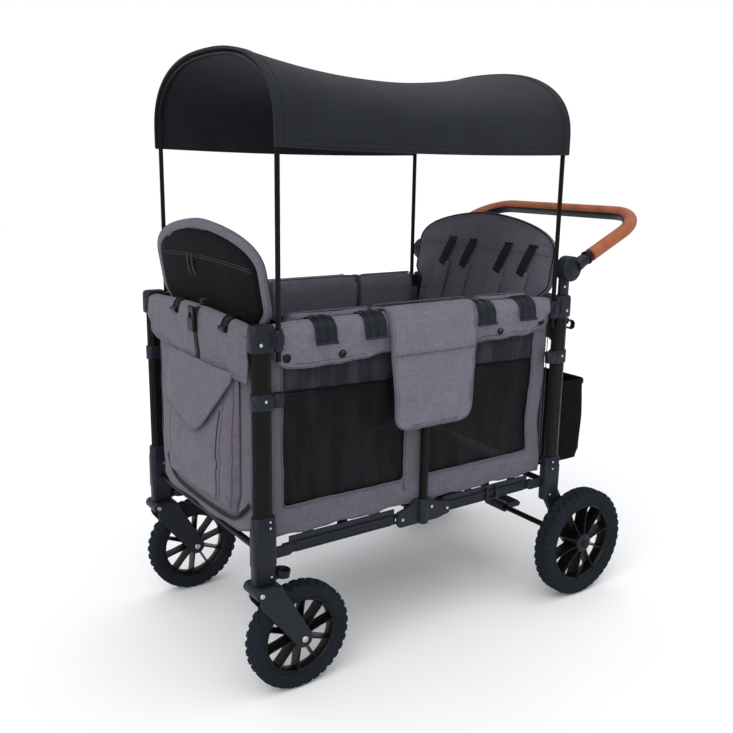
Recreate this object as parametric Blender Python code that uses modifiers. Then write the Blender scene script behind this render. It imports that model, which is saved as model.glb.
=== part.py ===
"""Four-seat folding stroller wagon with a canopy, a tilting push handle and swivel casters.

Metres, +Z up, +X towards the push handle, -Y is the left-hand side.  The design is laid out
from the middle of the frame (x = 0 half way between the posts) and the empty "wagon" moves
it so that the origin lies on the floor under the middle of the whole object.
"""
import math

import bmesh
import bpy
from mathutils import Matrix, Vector

# ---- driving dimensions ----
MIDDLE_X = -0.1315         # where the middle of the frame lies in the object's own frame
GAP = 0.0003               # clearance between touching pieces

POST_X = 0.4583            # centre of the corner posts
POST_Y = 0.3025
POST_WIDE = 0.046          # oval post tube, along X
POST_DEEP = 0.025          # along Y
POST_WALL = 0.0022
POST_FOOT = 0.335
POST_TOP = 0.862

LINK_Z = 0.350             # height of the lower fold pivots
RAIL_Z = 0.8535            # height of the upper fold pivots
PIVOT_OUT = 0.388          # fold pivots at the posts
PIVOT_MID = 0.075          # fold pivots at the middle plates
LINK = PIVOT_OUT - PIVOT_MID
PLATE_Y = 0.2955           # centre of the fixed plates that carry the pins
PLATE_THICK = 0.006
LINK_Y = 0.2872            # centre of the swinging bars
LINK_THICK = 0.010
LINK_HEIGHT = 0.026
PIN_R = 0.0045
EYE_R = 0.0053
SLEEVE_R = 0.027           # padded sleeve of the upper rails

ROD_X = 0.4205             # canopy rods
ROD_Y = 0.3105
ROD_R = 0.006
ROD_FOOT = 0.800
HOOP_SPRING = 1.290        # where the hoop starts to arch
HOOP_RISE = 0.168
HOOP_POWER = 2.4           # superellipse exponent of the arch
ARCH_STEPS = 16
CANOPY_HEM = 1.252
CANOPY_SAG = 0.045
CANOPY_THICK = 0.002
CANOPY_CLEAR = 0.0090      # hoop centre line to the middle of the cloth

CASTER_R = 0.1335          # front wheel
CASTER_TRAIL = 0.090
CASTER_WIDE = 0.043
WHEEL_R = 0.159            # rear wheel
WHEEL_X = 0.554
WHEEL_Y = 0.341
WHEEL_WIDE = 0.050
TYRE_SIDES = 28
AXLE_R = 0.0085

HUB_X = 0.470              # tilt axis of the push handle
HUB_Z = 0.955
HUB_R = 0.034
HUB_PARTING = 0.3090       # plane between the fixed and the tilting half
BAR_X = 0.767
BAR_Z = 1.094
ARM_Y = 0.3205
BAR_R = 0.0105
GRIP_R = 0.0150

SEAT_HINGE_X = 0.375
SEAT_HINGE_Z = 0.606
SEAT_LEAN = math.radians(9.4)
SEAT_THICK = 0.016
BENCH_HINGE_X = 0.355
BENCH_Z = 0.575
BENCH_LONG = 0.230
BENCH_THICK = 0.018

PANEL_FOOT = 0.385         # fabric tub
PANEL_TOP = 0.838
FLOOR_Z = 0.382
FLOOR_THICK = 0.012

TANK = (0.020, 0.022, 0.026)
SLATE = (0.035, 0.041, 0.050)
GREY_CLOTH = (0.170, 0.155, 0.175)
BLACK_CLOTH = (0.012, 0.013, 0.016)
LEATHER = (0.40, 0.115, 0.050)

SIDES = (("left", -1), ("right", 1))


# ---- scene ----
for old in list(bpy.data.objects):
    bpy.data.objects.remove(old, do_unlink=True)
WAGON = bpy.data.collections.new("stroller_wagon")
bpy.context.scene.collection.children.link(WAGON)

ROOT = bpy.data.objects.new("wagon", None)
ROOT.location = (MIDDLE_X, 0, 0)
WAGON.objects.link(ROOT)


# ---- shape helpers ----
def place(name, data):
    obj = bpy.data.objects.new(name, data)
    WAGON.objects.link(obj)
    return obj


def box(name, low, high):
    """A block between two corners."""
    low, high = Vector(low), Vector(high)
    mesh = bpy.data.meshes.new(name)
    bm = bmesh.new()
    bmesh.ops.create_cube(bm, size=1.0)
    bmesh.ops.scale(bm, vec=high - low, verts=bm.verts)
    bmesh.ops.translate(bm, vec=(low + high) / 2, verts=bm.verts)
    bm.to_mesh(mesh)
    bm.free()
    return place(name, mesh)


def rod(name, start, end, radius, sides=12):
    """A round bar between two points."""
    start, end = Vector(start), Vector(end)
    mesh = bpy.data.meshes.new(name)
    bm = bmesh.new()
    bmesh.ops.create_cone(bm, cap_ends=True, segments=sides, radius1=radius, radius2=radius,
                          depth=(end - start).length)
    turn = (end - start).to_track_quat("Z", "Y").to_matrix().to_4x4()
    bmesh.ops.transform(bm, matrix=Matrix.Translation((start + end) / 2) @ turn, verts=bm.verts)
    bm.to_mesh(mesh)
    bm.free()
    mesh.shade_smooth()
    mesh.set_sharp_from_angle(angle=math.radians(40))
    return place(name, mesh)


def circle(centre, radius, steps):
    cx, cy = centre
    turns = [2 * math.pi * (k + 0.5) / steps for k in range(steps)]
    return [(cx + radius * math.cos(a), cy + radius * math.sin(a)) for a in turns]


def arc(centre, radius, start, end, steps):
    """Points on an arc; the angles are in degrees."""
    cx, cy = centre
    turns = [math.radians(start + (end - start) * k / steps) for k in range(steps + 1)]
    return [(cx + radius * math.cos(a), cy + radius * math.sin(a)) for a in turns]


def rounded(wide, tall, radius, steps=2):
    """A rectangle with round corners about (0, 0)."""
    x, y = wide / 2 - radius, tall / 2 - radius
    points = []
    for k, (cx, cy) in enumerate(((x, y), (-x, y), (-x, -y), (x, -y))):
        points += arc((cx, cy), radius, 90 * k, 90 * k + 90, steps)
    return points


def strap(a, b, radius_a, radius_b, steps=5):
    """The outline of a link: two round ends joined by their tangents."""
    ax, ay = a
    bx, by = b
    along = math.degrees(math.atan2(by - ay, bx - ax))
    lean = math.degrees(math.acos((radius_a - radius_b) / math.hypot(bx - ax, by - ay)))
    start = arc(a, radius_a, along + lean, along + 360 - lean, steps)
    return start + arc(b, radius_b, along - lean, along + lean, steps)


def flat(name, outline, holes, thick, frame):
    """A flat plate: an outline with holes, filled and extruded, in the plane of a frame."""
    curve = bpy.data.curves.new(name, "CURVE")
    curve.dimensions = "2D"
    curve.fill_mode = "BOTH"
    curve.extrude = thick / 2
    for loop in [outline] + list(holes):
        spline = curve.splines.new("POLY")
        spline.points.add(len(loop) - 1)
        for point, (x, y) in zip(spline.points, loop):
            point.co = (x, y, 0, 1)
        spline.use_cyclic_u = True
    obj = place(name, curve)
    obj.matrix_world = frame
    return obj


def plate(name, outline, holes, y, thick):
    """A flat plate that stands along X and Z; the outline is given as (x, z)."""
    frame = Matrix.Translation((0, y, 0)) @ Matrix.Rotation(math.radians(90), 4, "X")
    return flat(name, outline, holes, thick, frame)


def slab(name, outline, holes, low, high):
    """A flat plate that lies along X and Y; the outline is given as (x, y)."""
    return flat(name, outline, holes, high - low, Matrix.Translation((0, 0, (low + high) / 2)))


def turned(name, profile, centre, sides):
    """A ring turned about the Y axis through a centre; the profile is (y, radius) and closed."""
    mesh = bpy.data.meshes.new(name)
    bm = bmesh.new()
    verts = [bm.verts.new((radius, y, 0)) for y, radius in profile]
    for k, vert in enumerate(verts):
        bm.edges.new((vert, verts[(k + 1) % len(verts)]))
    bm.to_mesh(mesh)
    bm.free()
    obj = place(name, mesh)
    obj.location = centre
    obj.rotation_euler = (0, math.radians(90) + math.pi / sides, 0)
    screw = obj.modifiers.new("turn", "SCREW")
    screw.axis = "Y"
    screw.steps = sides
    screw.render_steps = sides
    screw.use_merge_vertices = True
    screw.merge_threshold = 0.00001
    return obj


def tube(name, points, radius, resolution=2):
    """A round tube along a route."""
    curve = bpy.data.curves.new(name, "CURVE")
    curve.dimensions = "3D"
    curve.bevel_depth = radius
    curve.bevel_resolution = resolution
    curve.use_fill_caps = True
    spline = curve.splines.new("POLY")
    spline.points.add(len(points) - 1)
    for point, at in zip(spline.points, points):
        point.co = (*at, 1)
    return place(name, curve)


def as_mesh(obj):
    """Turns a curve, or a mesh with modifiers, into a plain welded mesh under the same name."""
    bpy.context.view_layer.update()
    seen = obj.evaluated_get(bpy.context.evaluated_depsgraph_get())
    mesh = bpy.data.meshes.new_from_object(seen)
    matrix = obj.matrix_world.copy()
    name = obj.name
    bpy.data.objects.remove(obj, do_unlink=True)
    bm = bmesh.new()
    bm.from_mesh(mesh)
    bm.transform(matrix)
    bmesh.ops.remove_doubles(bm, verts=bm.verts, dist=0.000005)
    bmesh.ops.recalc_face_normals(bm, faces=bm.faces)
    bm.to_mesh(mesh)
    bm.free()
    return place(name, mesh)


def work(first, others, operation):
    """Joins pieces to the first one, or cuts them out of it, and leaves one plain mesh."""
    whole = as_mesh(first)
    for other in others:
        tool = as_mesh(other)
        step = whole.modifiers.new("step", "BOOLEAN")
        step.operation = operation
        step.object = tool
        whole = as_mesh(whole)
        bpy.data.objects.remove(tool, do_unlink=True)
    return whole


def fused(first, *others):
    return work(first, others, "UNION")


def cut(first, *others):
    return work(first, others, "DIFFERENCE")


def finish(obj, colour, roughness=0.5, metallic=0.0):
    """Gives a piece its own material."""
    material = bpy.data.materials.new(obj.name)
    material.use_nodes = True
    shader = material.node_tree.nodes["Principled BSDF"]
    shader.inputs["Base Color"].default_value = (*colour, 1)
    shader.inputs["Roughness"].default_value = roughness
    shader.inputs["Metallic"].default_value = metallic
    obj.data.materials.append(material)
    return obj


def body(name, pivot, pieces):
    """Hangs a body's pieces on an empty that stands on its joint."""
    holder = bpy.data.objects.new(name, None)
    holder.location = pivot
    holder.parent = ROOT
    WAGON.objects.link(holder)
    for piece in pieces:
        piece.parent = holder
        piece.matrix_parent_inverse = Matrix.Translation(-Vector(pivot))
    return holder


def rounded_edges(obj, width):
    bevel = obj.modifiers.new("soft edges", "BEVEL")
    bevel.width = width
    bevel.segments = 2
    return obj


# ---- frame pieces ----
def post(name, x, y):
    wall = 2 * POST_WALL
    outside = [(x + u, y + v) for u, v in rounded(POST_WIDE, POST_DEEP, POST_DEEP / 2 - 0.0001)]
    inside = [(x + u, y + v) for u, v in rounded(POST_WIDE - wall, POST_DEEP - wall,
                                                 POST_DEEP / 2 - POST_WALL - 0.0001)]
    return finish(slab(name, outside, [inside], POST_FOOT, POST_TOP), TANK, 0.35, 0.6)


def sheath(name, x, y, low, high):
    """The outside of a moulded sleeve round a post."""
    outline = [(x + u, y + v) for u, v in rounded(POST_WIDE + 0.010, POST_DEEP + 0.008, 0.012)]
    return slab(name, outline, [], low, high)


def post_bore(x, y, low, high):
    """The room that a sleeve leaves for its post."""
    bore = rounded(POST_WIDE + 2 * GAP, POST_DEEP + 2 * GAP, POST_DEEP / 2)
    return slab("bore", [(x + u, y + v) for u, v in bore], [], low, high)


def pivot_pin(name, x, z, side):
    """A rivet that sticks out of a fixed plate, with a head that keeps the bar on."""
    shank = rod(name, (x, side * (PLATE_Y + 0.001), z), (x, side * 0.2792, z), PIN_R, 8)
    head = rod("head", (x, side * 0.2818, z), (x, side * 0.2790, z), 0.0085, 8)
    return [shank, head]


def arm(name, end, side, z):
    """A fixed arm from a post to its pivot pin."""
    reach = math.copysign(PIVOT_OUT, end)
    outline = strap((math.copysign(0.446, end), z), (reach, z), 0.0141, 0.0140)
    return [plate(name, outline, [], side * PLATE_Y, PLATE_THICK)] + pivot_pin("pin", reach, z, side)


def cap(name, end, side):
    """The moulded cap on a post: rod socket, rail pivot and, at the rear, the handle's stub."""
    x, y = end * POST_X, side * POST_Y
    sleeve = sheath(name, x, y, 0.824, 0.882)
    socket = rod("socket", (end * ROD_X, side * ROD_Y, 0.826), (end * ROD_X, side * ROD_Y, 0.870),
                 0.0105, 12)
    web = box("web", (min(end * 0.425, end * 0.440), min(side * 0.304, side * 0.317), 0.830),
              (max(end * 0.425, end * 0.440), max(side * 0.304, side * 0.317), 0.866))
    pieces = [socket, web] + arm("arm", end, side, RAIL_Z)
    if end > 0:
        stub = slab("stub", [(HUB_X - 0.004 + u, side * 0.3010 + v)
                             for u, v in rounded(0.034, 0.015, 0.005)], [], 0.878, HUB_Z)
        disc = rod("disc", (HUB_X, side * 0.2945, HUB_Z), (HUB_X, side * (HUB_PARTING - GAP), HUB_Z),
                   HUB_R, 18)
        pieces += [stub, disc]
    whole = fused(sleeve, *pieces)
    hole = rod("hole", (end * ROD_X, side * ROD_Y, 0.78), (end * ROD_X, side * ROD_Y, 0.92),
               ROD_R + 0.0007, 12)
    return finish(cut(whole, hole, post_bore(x, y, 0.800, POST_TOP + GAP)), SLATE, 0.45)


def front_knuckle(name, side):
    """The sleeve under a front post, with the caster's bearing and the fold pivot."""
    x, y = -POST_X, side * POST_Y
    whole = fused(sheath(name, x, y, 0.286, 0.449), *arm("arm", -1, side, LINK_Z))
    bearing = rod("bearing", (x, y, 0.27), (x, y, 0.320), 0.0088, 12)
    bore = post_bore(x, y, POST_FOOT - GAP, 0.480)
    return finish(cut(whole, bearing, bore), SLATE, 0.45)


def rear_knuckle(name, side):
    """The sleeve under a rear post, with the leg that holds the axle and the fold pivot."""
    x, y = POST_X, side * POST_Y
    sleeve = sheath(name, x, y, 0.300, 0.425)
    leg = plate("leg", strap((x + 0.002, 0.325), (WHEEL_X, WHEEL_R), 0.026, 0.022), [],
                side * 0.3030, 0.018)
    whole = fused(sleeve, leg, *arm("arm", 1, side, LINK_Z))
    bearing = rod("bearing", (WHEEL_X, side * 0.28, WHEEL_R), (WHEEL_X, side * 0.33, WHEEL_R),
                  AXLE_R + 0.0006, 20)
    bore = post_bore(x, y, POST_FOOT - GAP, 0.480)
    return finish(cut(whole, bearing, bore), SLATE, 0.45)


def link(name, x_low, z, side):
    """A swinging bar with an eye at each end."""
    a, b = (x_low, z), (x_low + LINK, z)
    outline = strap(a, b, LINK_HEIGHT / 2 + 0.0001, LINK_HEIGHT / 2)
    eyes = [circle(centre, EYE_R, 10) for centre in (a, b)]
    return plate(name, outline, eyes, side * LINK_Y, LINK_THICK)


def upper_rail(name, x_low, side):
    """An upper bar in its padded cloth sleeve."""
    bar = link(name, x_low, RAIL_Z, side)
    start, end = (x_low + 0.025, side * LINK_Y, RAIL_Z), (x_low + LINK - 0.025, side * LINK_Y, RAIL_Z)
    return finish(fused(bar, rod("sleeve", start, end, SLEEVE_R, 14)), GREY_CLOTH, 0.9)


def middle_plate(name, side, z):
    """The plate between the two pivots at the middle of the frame."""
    outline = strap((-PIVOT_MID, z), (PIVOT_MID, z), 0.0141, 0.0140)
    pieces = [plate(name, outline, [], side * PLATE_Y, PLATE_THICK)]
    for x in (-PIVOT_MID, PIVOT_MID):
        pieces += pivot_pin("pin", x, z, side)
    return pieces


def middle_bracket(name, side):
    pieces = middle_plate(name, side, LINK_Z)
    cup = box("cup", (-0.022, min(side * 0.2930, side * 0.3150), 0.345),
              (0.022, max(side * 0.2930, side * 0.3150), 0.395 - GAP))
    return finish(fused(*pieces, cup), SLATE, 0.45)


def middle_post(name, side):
    pieces = middle_plate("plate", side, RAIL_Z)
    column = rod(name, (0, side * 0.3025, 0.395), (0, side * 0.3025, 0.862), 0.011, 14)
    return finish(fused(column, *pieces), TANK, 0.35, 0.6)


# ---- wheels ----
def caster_fork(name, side):
    """The swivelling fork: stem, crown, two legs and the wheel's pin."""
    x, y = -POST_X, side * POST_Y
    axle_x = x + CASTER_TRAIL
    stem = rod(name, (x, y, 0.262), (x, y, 0.3185), 0.0080, 12)
    crown = box("crown", (x - 0.026, y - 0.0325, 0.2560), (x + 0.026, y + 0.0325, 0.2855))
    outline = strap((x + 0.002, 0.2640), (axle_x, CASTER_R), 0.0210, 0.0150)
    legs = [plate("leg", outline, [], y + 0.0285 * way, 0.008) for way in (-1, 1)]
    pin = rod("pin", (axle_x, y - 0.0300, CASTER_R), (axle_x, y + 0.0300, CASTER_R), 0.0050, 12)
    return finish(fused(stem, crown, *legs, pin), SLATE, 0.45)


def tyre(name, centre, radius, width, sides):
    """A tyre whose flat facets reach the floor."""
    outer = radius / math.cos(math.pi / sides)
    half = width / 2
    inner = radius * 0.795
    profile = [(-half * 0.70, outer), (-half, outer * 0.93), (-half * 0.80, inner),
               (half * 0.80, inner), (half, outer * 0.93), (half * 0.70, outer)]
    return finish(turned(name, profile, centre, sides), (0.022, 0.025, 0.030), 0.8)


def rim(name, centre, radius, width, bore, sides):
    """A moulded rim: hub, round outer ring and ten spokes."""
    outer = radius * 0.795 * math.cos(math.pi / sides) - 2 * GAP
    half = width * 0.36
    ring = turned(name, [(-half, outer), (-half, outer * 0.90), (half, outer * 0.90), (half, outer)],
                  centre, sides)
    hub = turned("hub", [(-half, 0.024), (-half, bore), (half, bore), (half, 0.024)], centre, 16)
    spokes = []
    for k in range(10):
        spoke = box("spoke", (0.019, -half * 0.55, -0.0045), (outer * 0.95, half * 0.55, 0.0045))
        spoke.matrix_world = Matrix.Translation(centre) @ Matrix.Rotation(math.radians(36 * k), 4, "Y")
        spokes.append(spoke)
    return finish(fused(ring, *spokes, hub), TANK, 0.4)


# ---- soft pieces and boards ----
def side_panel(name, side):
    low, high = sorted((side * 0.2620, side * 0.2888))
    return finish(box(name, (-0.414, low, PANEL_FOOT + 0.003), (0.414, high, 0.815)), GREY_CLOTH, 0.95)


def end_panel(name, end, pocket_deep):
    """The cloth panel between two posts; the front one carries a pocket."""
    inner, outer = end * 0.4600, end * 0.4740
    panel = box(name, (min(inner, outer), -0.2850, PANEL_FOOT), (max(inner, outer), 0.2850, PANEL_TOP))
    if not pocket_deep:
        return finish(panel, GREY_CLOTH, 0.95)
    pouch = rounded_edges(box("pouch", (end * (0.474 + pocket_deep), -0.210, 0.425),
                              (end * 0.465, 0.210, 0.735)), 0.012)
    return finish(fused(panel, pouch), GREY_CLOTH, 0.95)


def basket():
    """An open-topped cloth basket behind the rear panel."""
    shell = rounded_edges(box("basket", (0.4745, -0.250, 0.372), (0.650, 0.250, 0.630)), 0.014)
    hollow = box("hollow", (0.482, -0.242, 0.380), (0.642, 0.242, 0.700))
    return finish(cut(shell, hollow), BLACK_CLOTH, 0.95)


def floor_board(name, x_low, x_high):
    return finish(box(name, (x_low, -0.2590, FLOOR_Z - FLOOR_THICK), (x_high, 0.2590, FLOOR_Z)),
                  GREY_CLOTH, 0.9)


def seat_back(name, end):
    """A padded back, narrow between the rails and wide above them, with a round top."""
    half = [(0.258, 0.0), (0.258, 0.280), (0.290, 0.305)]
    half += arc((0.195, 0.382), 0.095, 0, 68, 5)
    half += [(0.120, 0.482), (0.0, 0.488)]
    outline = half + [(-y, z) for y, z in reversed(half[:-1])]
    upright = Matrix(((0, 0, 1, 0), (1, 0, 0, 0), (0, 1, 0, 0), (0, 0, 0, 1)))
    lean = Matrix.Rotation(end * SEAT_LEAN, 4, "Y")
    hinge = Matrix.Translation((end * SEAT_HINGE_X, 0, SEAT_HINGE_Z))
    return finish(flat(name, outline, [], SEAT_THICK, hinge @ lean @ upright), GREY_CLOTH, 0.95)


def bench(name, end):
    near, far = end * BENCH_HINGE_X, end * (BENCH_HINGE_X - BENCH_LONG)
    half = BENCH_THICK / 2
    pad = box(name, (min(near, far), -0.255, BENCH_Z - half), (max(near, far), 0.255, BENCH_Z + half))
    return finish(rounded_edges(pad, 0.005), GREY_CLOTH, 0.95)


# ---- canopy ----
def arch(t, spread):
    """A point of the arch at t from 0 (left) to 1 (right), moved outwards by spread."""
    turn = math.pi * (1 - t)
    power = 2 / HOOP_POWER
    y = (ROD_Y + spread) * math.copysign(abs(math.cos(turn)) ** power, math.cos(turn))
    z = HOOP_SPRING + (HOOP_RISE + spread) * abs(math.sin(turn)) ** power
    return y, z


def hoop(name, end):
    crown = [arch(k / ARCH_STEPS, 0) for k in range(ARCH_STEPS + 1)]
    points = [(end * ROD_X, -ROD_Y, ROD_FOOT)]
    points += [(end * ROD_X, y, z) for y, z in crown]
    points += [(end * ROD_X, ROD_Y, ROD_FOOT)]
    return finish(tube(name, points, ROD_R, 2), TANK, 0.3, 0.8)


def canopy():
    """One cloth over both hoops, sagging between them."""
    along, around = 6, ARCH_STEPS
    span = ROD_X - 0.010
    stations = [-(ROD_X + 0.010)] + [span * (2 * i / along - 1) for i in range(along + 1)]
    stations.append(ROD_X + 0.010)
    mesh = bpy.data.meshes.new("canopy_fabric")
    bm = bmesh.new()
    rows = []
    for x in stations:
        sag = CANOPY_SAG * max(0, 1 - (x / span) ** 2)
        row = [bm.verts.new((x, -(ROD_Y + CANOPY_CLEAR), CANOPY_HEM))]
        for k in range(around + 1):
            y, z = arch(k / around, CANOPY_CLEAR)
            lift = (z - HOOP_SPRING) / (HOOP_RISE + CANOPY_CLEAR)
            row.append(bm.verts.new((x, y, z - sag * lift)))
        row.append(bm.verts.new((x, ROD_Y + CANOPY_CLEAR, CANOPY_HEM)))
        rows.append(row)
    for low, high in zip(rows, rows[1:]):
        for k in range(len(low) - 1):
            bm.faces.new((low[k], low[k + 1], high[k + 1], high[k]))
    bmesh.ops.recalc_face_normals(bm, faces=bm.faces)
    bm.to_mesh(mesh)
    bm.free()
    obj = place("canopy_fabric", mesh)
    solid = obj.modifiers.new("cloth", "SOLIDIFY")
    solid.thickness = CANOPY_THICK
    solid.offset = 0
    return finish(obj, BLACK_CLOTH, 0.9)


# ---- push handle ----
def handle_route():
    """The U of the handle from the left hub to the right one."""
    slope = Vector((BAR_X - HUB_X, 0, BAR_Z - HUB_Z)).normalized()
    corner = 0.110
    start = Vector((HUB_X, -ARM_Y, HUB_Z)) + slope * 0.020
    centre = Vector((BAR_X, -ARM_Y + corner, BAR_Z)) - slope * corner
    left = [start, start + slope * 0.035]
    for k in range(7):
        turn = math.radians(15 * k)
        left.append(centre + slope * corner * math.sin(turn) - Vector((0, 1, 0)) * corner * math.cos(turn))
    right = [Vector((p.x, -p.y, p.z)) for p in reversed(left)]
    return left + right


def handle_bar():
    route = handle_route()
    pieces = [tube("handle_bar", route, BAR_R, 2)]
    for _, side in SIDES:
        disc = rod("disc", (HUB_X, side * HUB_PARTING, HUB_Z), (HUB_X, side * 0.3300, HUB_Z), HUB_R, 18)
        pieces.append(disc)
    whole = fused(*pieces)
    pockets = [rod("pocket", (HUB_X, side * 0.3220, HUB_Z), (HUB_X, side * 0.3400, HUB_Z), 0.0172, 16)
               for _, side in SIDES]
    return finish(cut(whole, *pockets), SLATE, 0.45)


def handle_grip():
    """A leather sleeve round the tube, from arm to arm."""
    route = handle_route()[1:-1]
    curve = tube("handle_grip", route, GRIP_R, 2)
    curve.data.use_fill_caps = False
    sleeve = as_mesh(curve)
    solid = sleeve.modifiers.new("leather", "SOLIDIFY")
    solid.thickness = GRIP_R - BAR_R - 0.0005
    solid.offset = -1
    return finish(sleeve, LEATHER, 0.5)


def handle_button(name, side):
    return finish(rod(name, (HUB_X, side * 0.3255, HUB_Z), (HUB_X, side * 0.3335, HUB_Z), 0.0160, 16),
                  TANK, 0.4)


def brake_pedal():
    """A foot pedal with an eye that turns on the rear axle."""
    outline = arc((WHEEL_X, WHEEL_R), 0.016, 30, 330, 12)
    outline += [(WHEEL_X + 0.060, WHEEL_R - 0.008), (WHEEL_X + 0.066, WHEEL_R),
                (WHEEL_X + 0.060, WHEEL_R + 0.008)]
    eye = circle((WHEEL_X, WHEEL_R), AXLE_R + 0.0010, 20)
    return finish(plate("brake_pedal", outline, [eye], 0, 0.080), SLATE, 0.5)


# ---- assembly ----
def both(make, name, *args):
    return [make(f"{name}_{word}", side, *args) for word, side in SIDES]


def front_frame():
    pieces = [post(f"front_post_{word}", -POST_X, side * POST_Y) for word, side in SIDES]
    pieces += [cap(f"front_cap_{word}", -1, side) for word, side in SIDES]
    pieces += both(front_knuckle, "front_knuckle")
    pieces += both(side_panel, "side_panel")
    lower = rod("front_cross_rail", (-POST_X, -0.2855, 0.362), (-POST_X, 0.2855, 0.362), 0.0085, 14)
    upper = rod("front_top_rail", (-0.470, -0.2855, RAIL_Z), (-0.470, 0.2855, RAIL_Z), 0.0110, 14)
    pieces += [finish(lower, TANK, 0.35, 0.6), finish(upper, TANK, 0.35, 0.6)]
    pieces.append(end_panel("front_panel", -1, 0.045))
    body("front_frame", (-POST_X, 0, POST_FOOT), pieces)


def rear_frame():
    pieces = [post(f"rear_post_{word}", POST_X, side * POST_Y) for word, side in SIDES]
    pieces += [cap(f"rear_cap_{word}", 1, side) for word, side in SIDES]
    pieces += both(rear_knuckle, "rear_knuckle")
    lower = rod("rear_cross_rail", (POST_X, -0.2855, 0.345), (POST_X, 0.2855, 0.345), 0.0085, 14)
    upper = rod("rear_top_rail", (0.470, -0.2855, RAIL_Z), (0.470, 0.2855, RAIL_Z), 0.0110, 14)
    axle = rod("rear_axle", (WHEEL_X, -0.3700, WHEEL_R), (WHEEL_X, 0.3700, WHEEL_R), AXLE_R, 20)
    pieces += [finish(lower, TANK, 0.35, 0.6), finish(upper, TANK, 0.35, 0.6),
               finish(axle, TANK, 0.35, 0.6)]
    pieces += [end_panel("rear_panel", 1, 0), basket()]
    body("rear_frame", (PIVOT_OUT, 0, LINK_Z), pieces)


def wheels():
    for word, side in SIDES:
        centre = (-POST_X + CASTER_TRAIL, side * POST_Y, CASTER_R)
        body(f"caster_{word}", (-POST_X, side * POST_Y, 0.286),
             [caster_fork(f"caster_fork_{word}", side)])
        body(f"front_wheel_{word}", centre,
             [tyre(f"front_tyre_{word}", centre, CASTER_R, CASTER_WIDE, TYRE_SIDES),
              rim(f"front_rim_{word}", centre, CASTER_R, CASTER_WIDE, 0.0056, TYRE_SIDES)])
        centre = (WHEEL_X, side * WHEEL_Y, WHEEL_R)
        body(f"rear_wheel_{word}", centre,
             [tyre(f"rear_tyre_{word}", centre, WHEEL_R, WHEEL_WIDE, TYRE_SIDES),
              rim(f"rear_rim_{word}", centre, WHEEL_R, WHEEL_WIDE, AXLE_R + 0.0006, TYRE_SIDES)])


def fold_links():
    pieces = [finish(link(f"lower_front_rail_{word}", -PIVOT_OUT, LINK_Z, side), SLATE, 0.45)
              for word, side in SIDES]
    pieces.append(floor_board("floor_front", -0.398, -0.078))
    body("lower_front_rails", (-PIVOT_OUT, 0, LINK_Z), pieces)

    pieces = both(middle_bracket, "middle_bracket") + both(middle_post, "middle_post")
    pieces.append(floor_board("floor_middle", -0.074, 0.074))
    body("middle_frame", (-PIVOT_MID, 0, LINK_Z), pieces)

    pieces = [finish(link(f"lower_rear_rail_{word}", PIVOT_MID, LINK_Z, side), SLATE, 0.45)
              for word, side in SIDES]
    pieces.append(floor_board("floor_rear", 0.078, 0.398))
    body("lower_rear_rails", (PIVOT_MID, 0, LINK_Z), pieces)

    body("upper_front_rails", (-PIVOT_OUT, 0, RAIL_Z),
         [upper_rail(f"upper_front_rail_{word}", -PIVOT_OUT, side) for word, side in SIDES])
    body("upper_rear_rails", (PIVOT_OUT, 0, RAIL_Z),
         [upper_rail(f"upper_rear_rail_{word}", PIVOT_MID, side) for word, side in SIDES])


def seats():
    for word, end in (("front", -1), ("rear", 1)):
        body(f"{word}_seat_back", (end * SEAT_HINGE_X, 0, SEAT_HINGE_Z),
             [seat_back(f"{word}_seat_cushion", end)])
        body(f"{word}_bench", (end * BENCH_HINGE_X, 0, BENCH_Z), [bench(f"{word}_bench_pad", end)])


def canopy_frame():
    body("front_hoop", (-ROD_X, 0, ROD_FOOT), [hoop("front_canopy_hoop", -1), canopy()])
    body("rear_hoop", (ROD_X, 0, ROD_FOOT), [hoop("rear_canopy_hoop", 1)])


def push_handle():
    body("handle", (HUB_X, 0, HUB_Z), [handle_bar(), handle_grip()])
    for word, side in SIDES:
        body(f"handle_button_{word}", (HUB_X, side * 0.3335, HUB_Z),
             [handle_button(f"hub_button_{word}", side)])


front_frame()
rear_frame()
wheels()
fold_links()
seats()
canopy_frame()
push_handle()
body("brake", (WHEEL_X, 0, WHEEL_R), [brake_pedal()])
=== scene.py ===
"""Looks of a four-seat folding stroller wagon, built round its CAD frame.

Pieces are laid out in metres from the middle of the frame, half way between the posts, with
-X to the front, -Y to the left-hand side and Z up; made() moves them into the row frame.
"""
import math

import bmesh
import bpy
from mathutils import Matrix, Vector, noise


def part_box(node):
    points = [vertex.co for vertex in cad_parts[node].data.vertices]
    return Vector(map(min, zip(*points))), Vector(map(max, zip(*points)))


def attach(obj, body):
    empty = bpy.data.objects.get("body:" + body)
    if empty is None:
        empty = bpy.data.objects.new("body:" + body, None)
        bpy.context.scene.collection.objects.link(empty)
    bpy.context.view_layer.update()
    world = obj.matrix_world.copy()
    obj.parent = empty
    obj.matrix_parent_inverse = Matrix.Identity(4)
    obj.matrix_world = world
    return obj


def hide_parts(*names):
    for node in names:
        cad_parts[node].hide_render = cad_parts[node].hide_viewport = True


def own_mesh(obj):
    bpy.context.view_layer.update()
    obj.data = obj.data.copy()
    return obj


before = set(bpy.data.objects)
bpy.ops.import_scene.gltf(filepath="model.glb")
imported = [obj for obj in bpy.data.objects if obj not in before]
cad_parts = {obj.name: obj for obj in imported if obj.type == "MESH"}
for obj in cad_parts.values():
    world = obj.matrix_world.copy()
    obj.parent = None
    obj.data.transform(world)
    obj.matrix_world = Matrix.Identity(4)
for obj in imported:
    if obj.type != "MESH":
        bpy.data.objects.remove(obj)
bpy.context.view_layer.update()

# ---- places taken from the frame ----
MIDDLE_X = (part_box("front_post_left")[0].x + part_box("rear_post_left")[1].x) / 2
POST_X = (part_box("rear_post_left")[0].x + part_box("rear_post_left")[1].x) / 2 - MIDDLE_X
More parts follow.
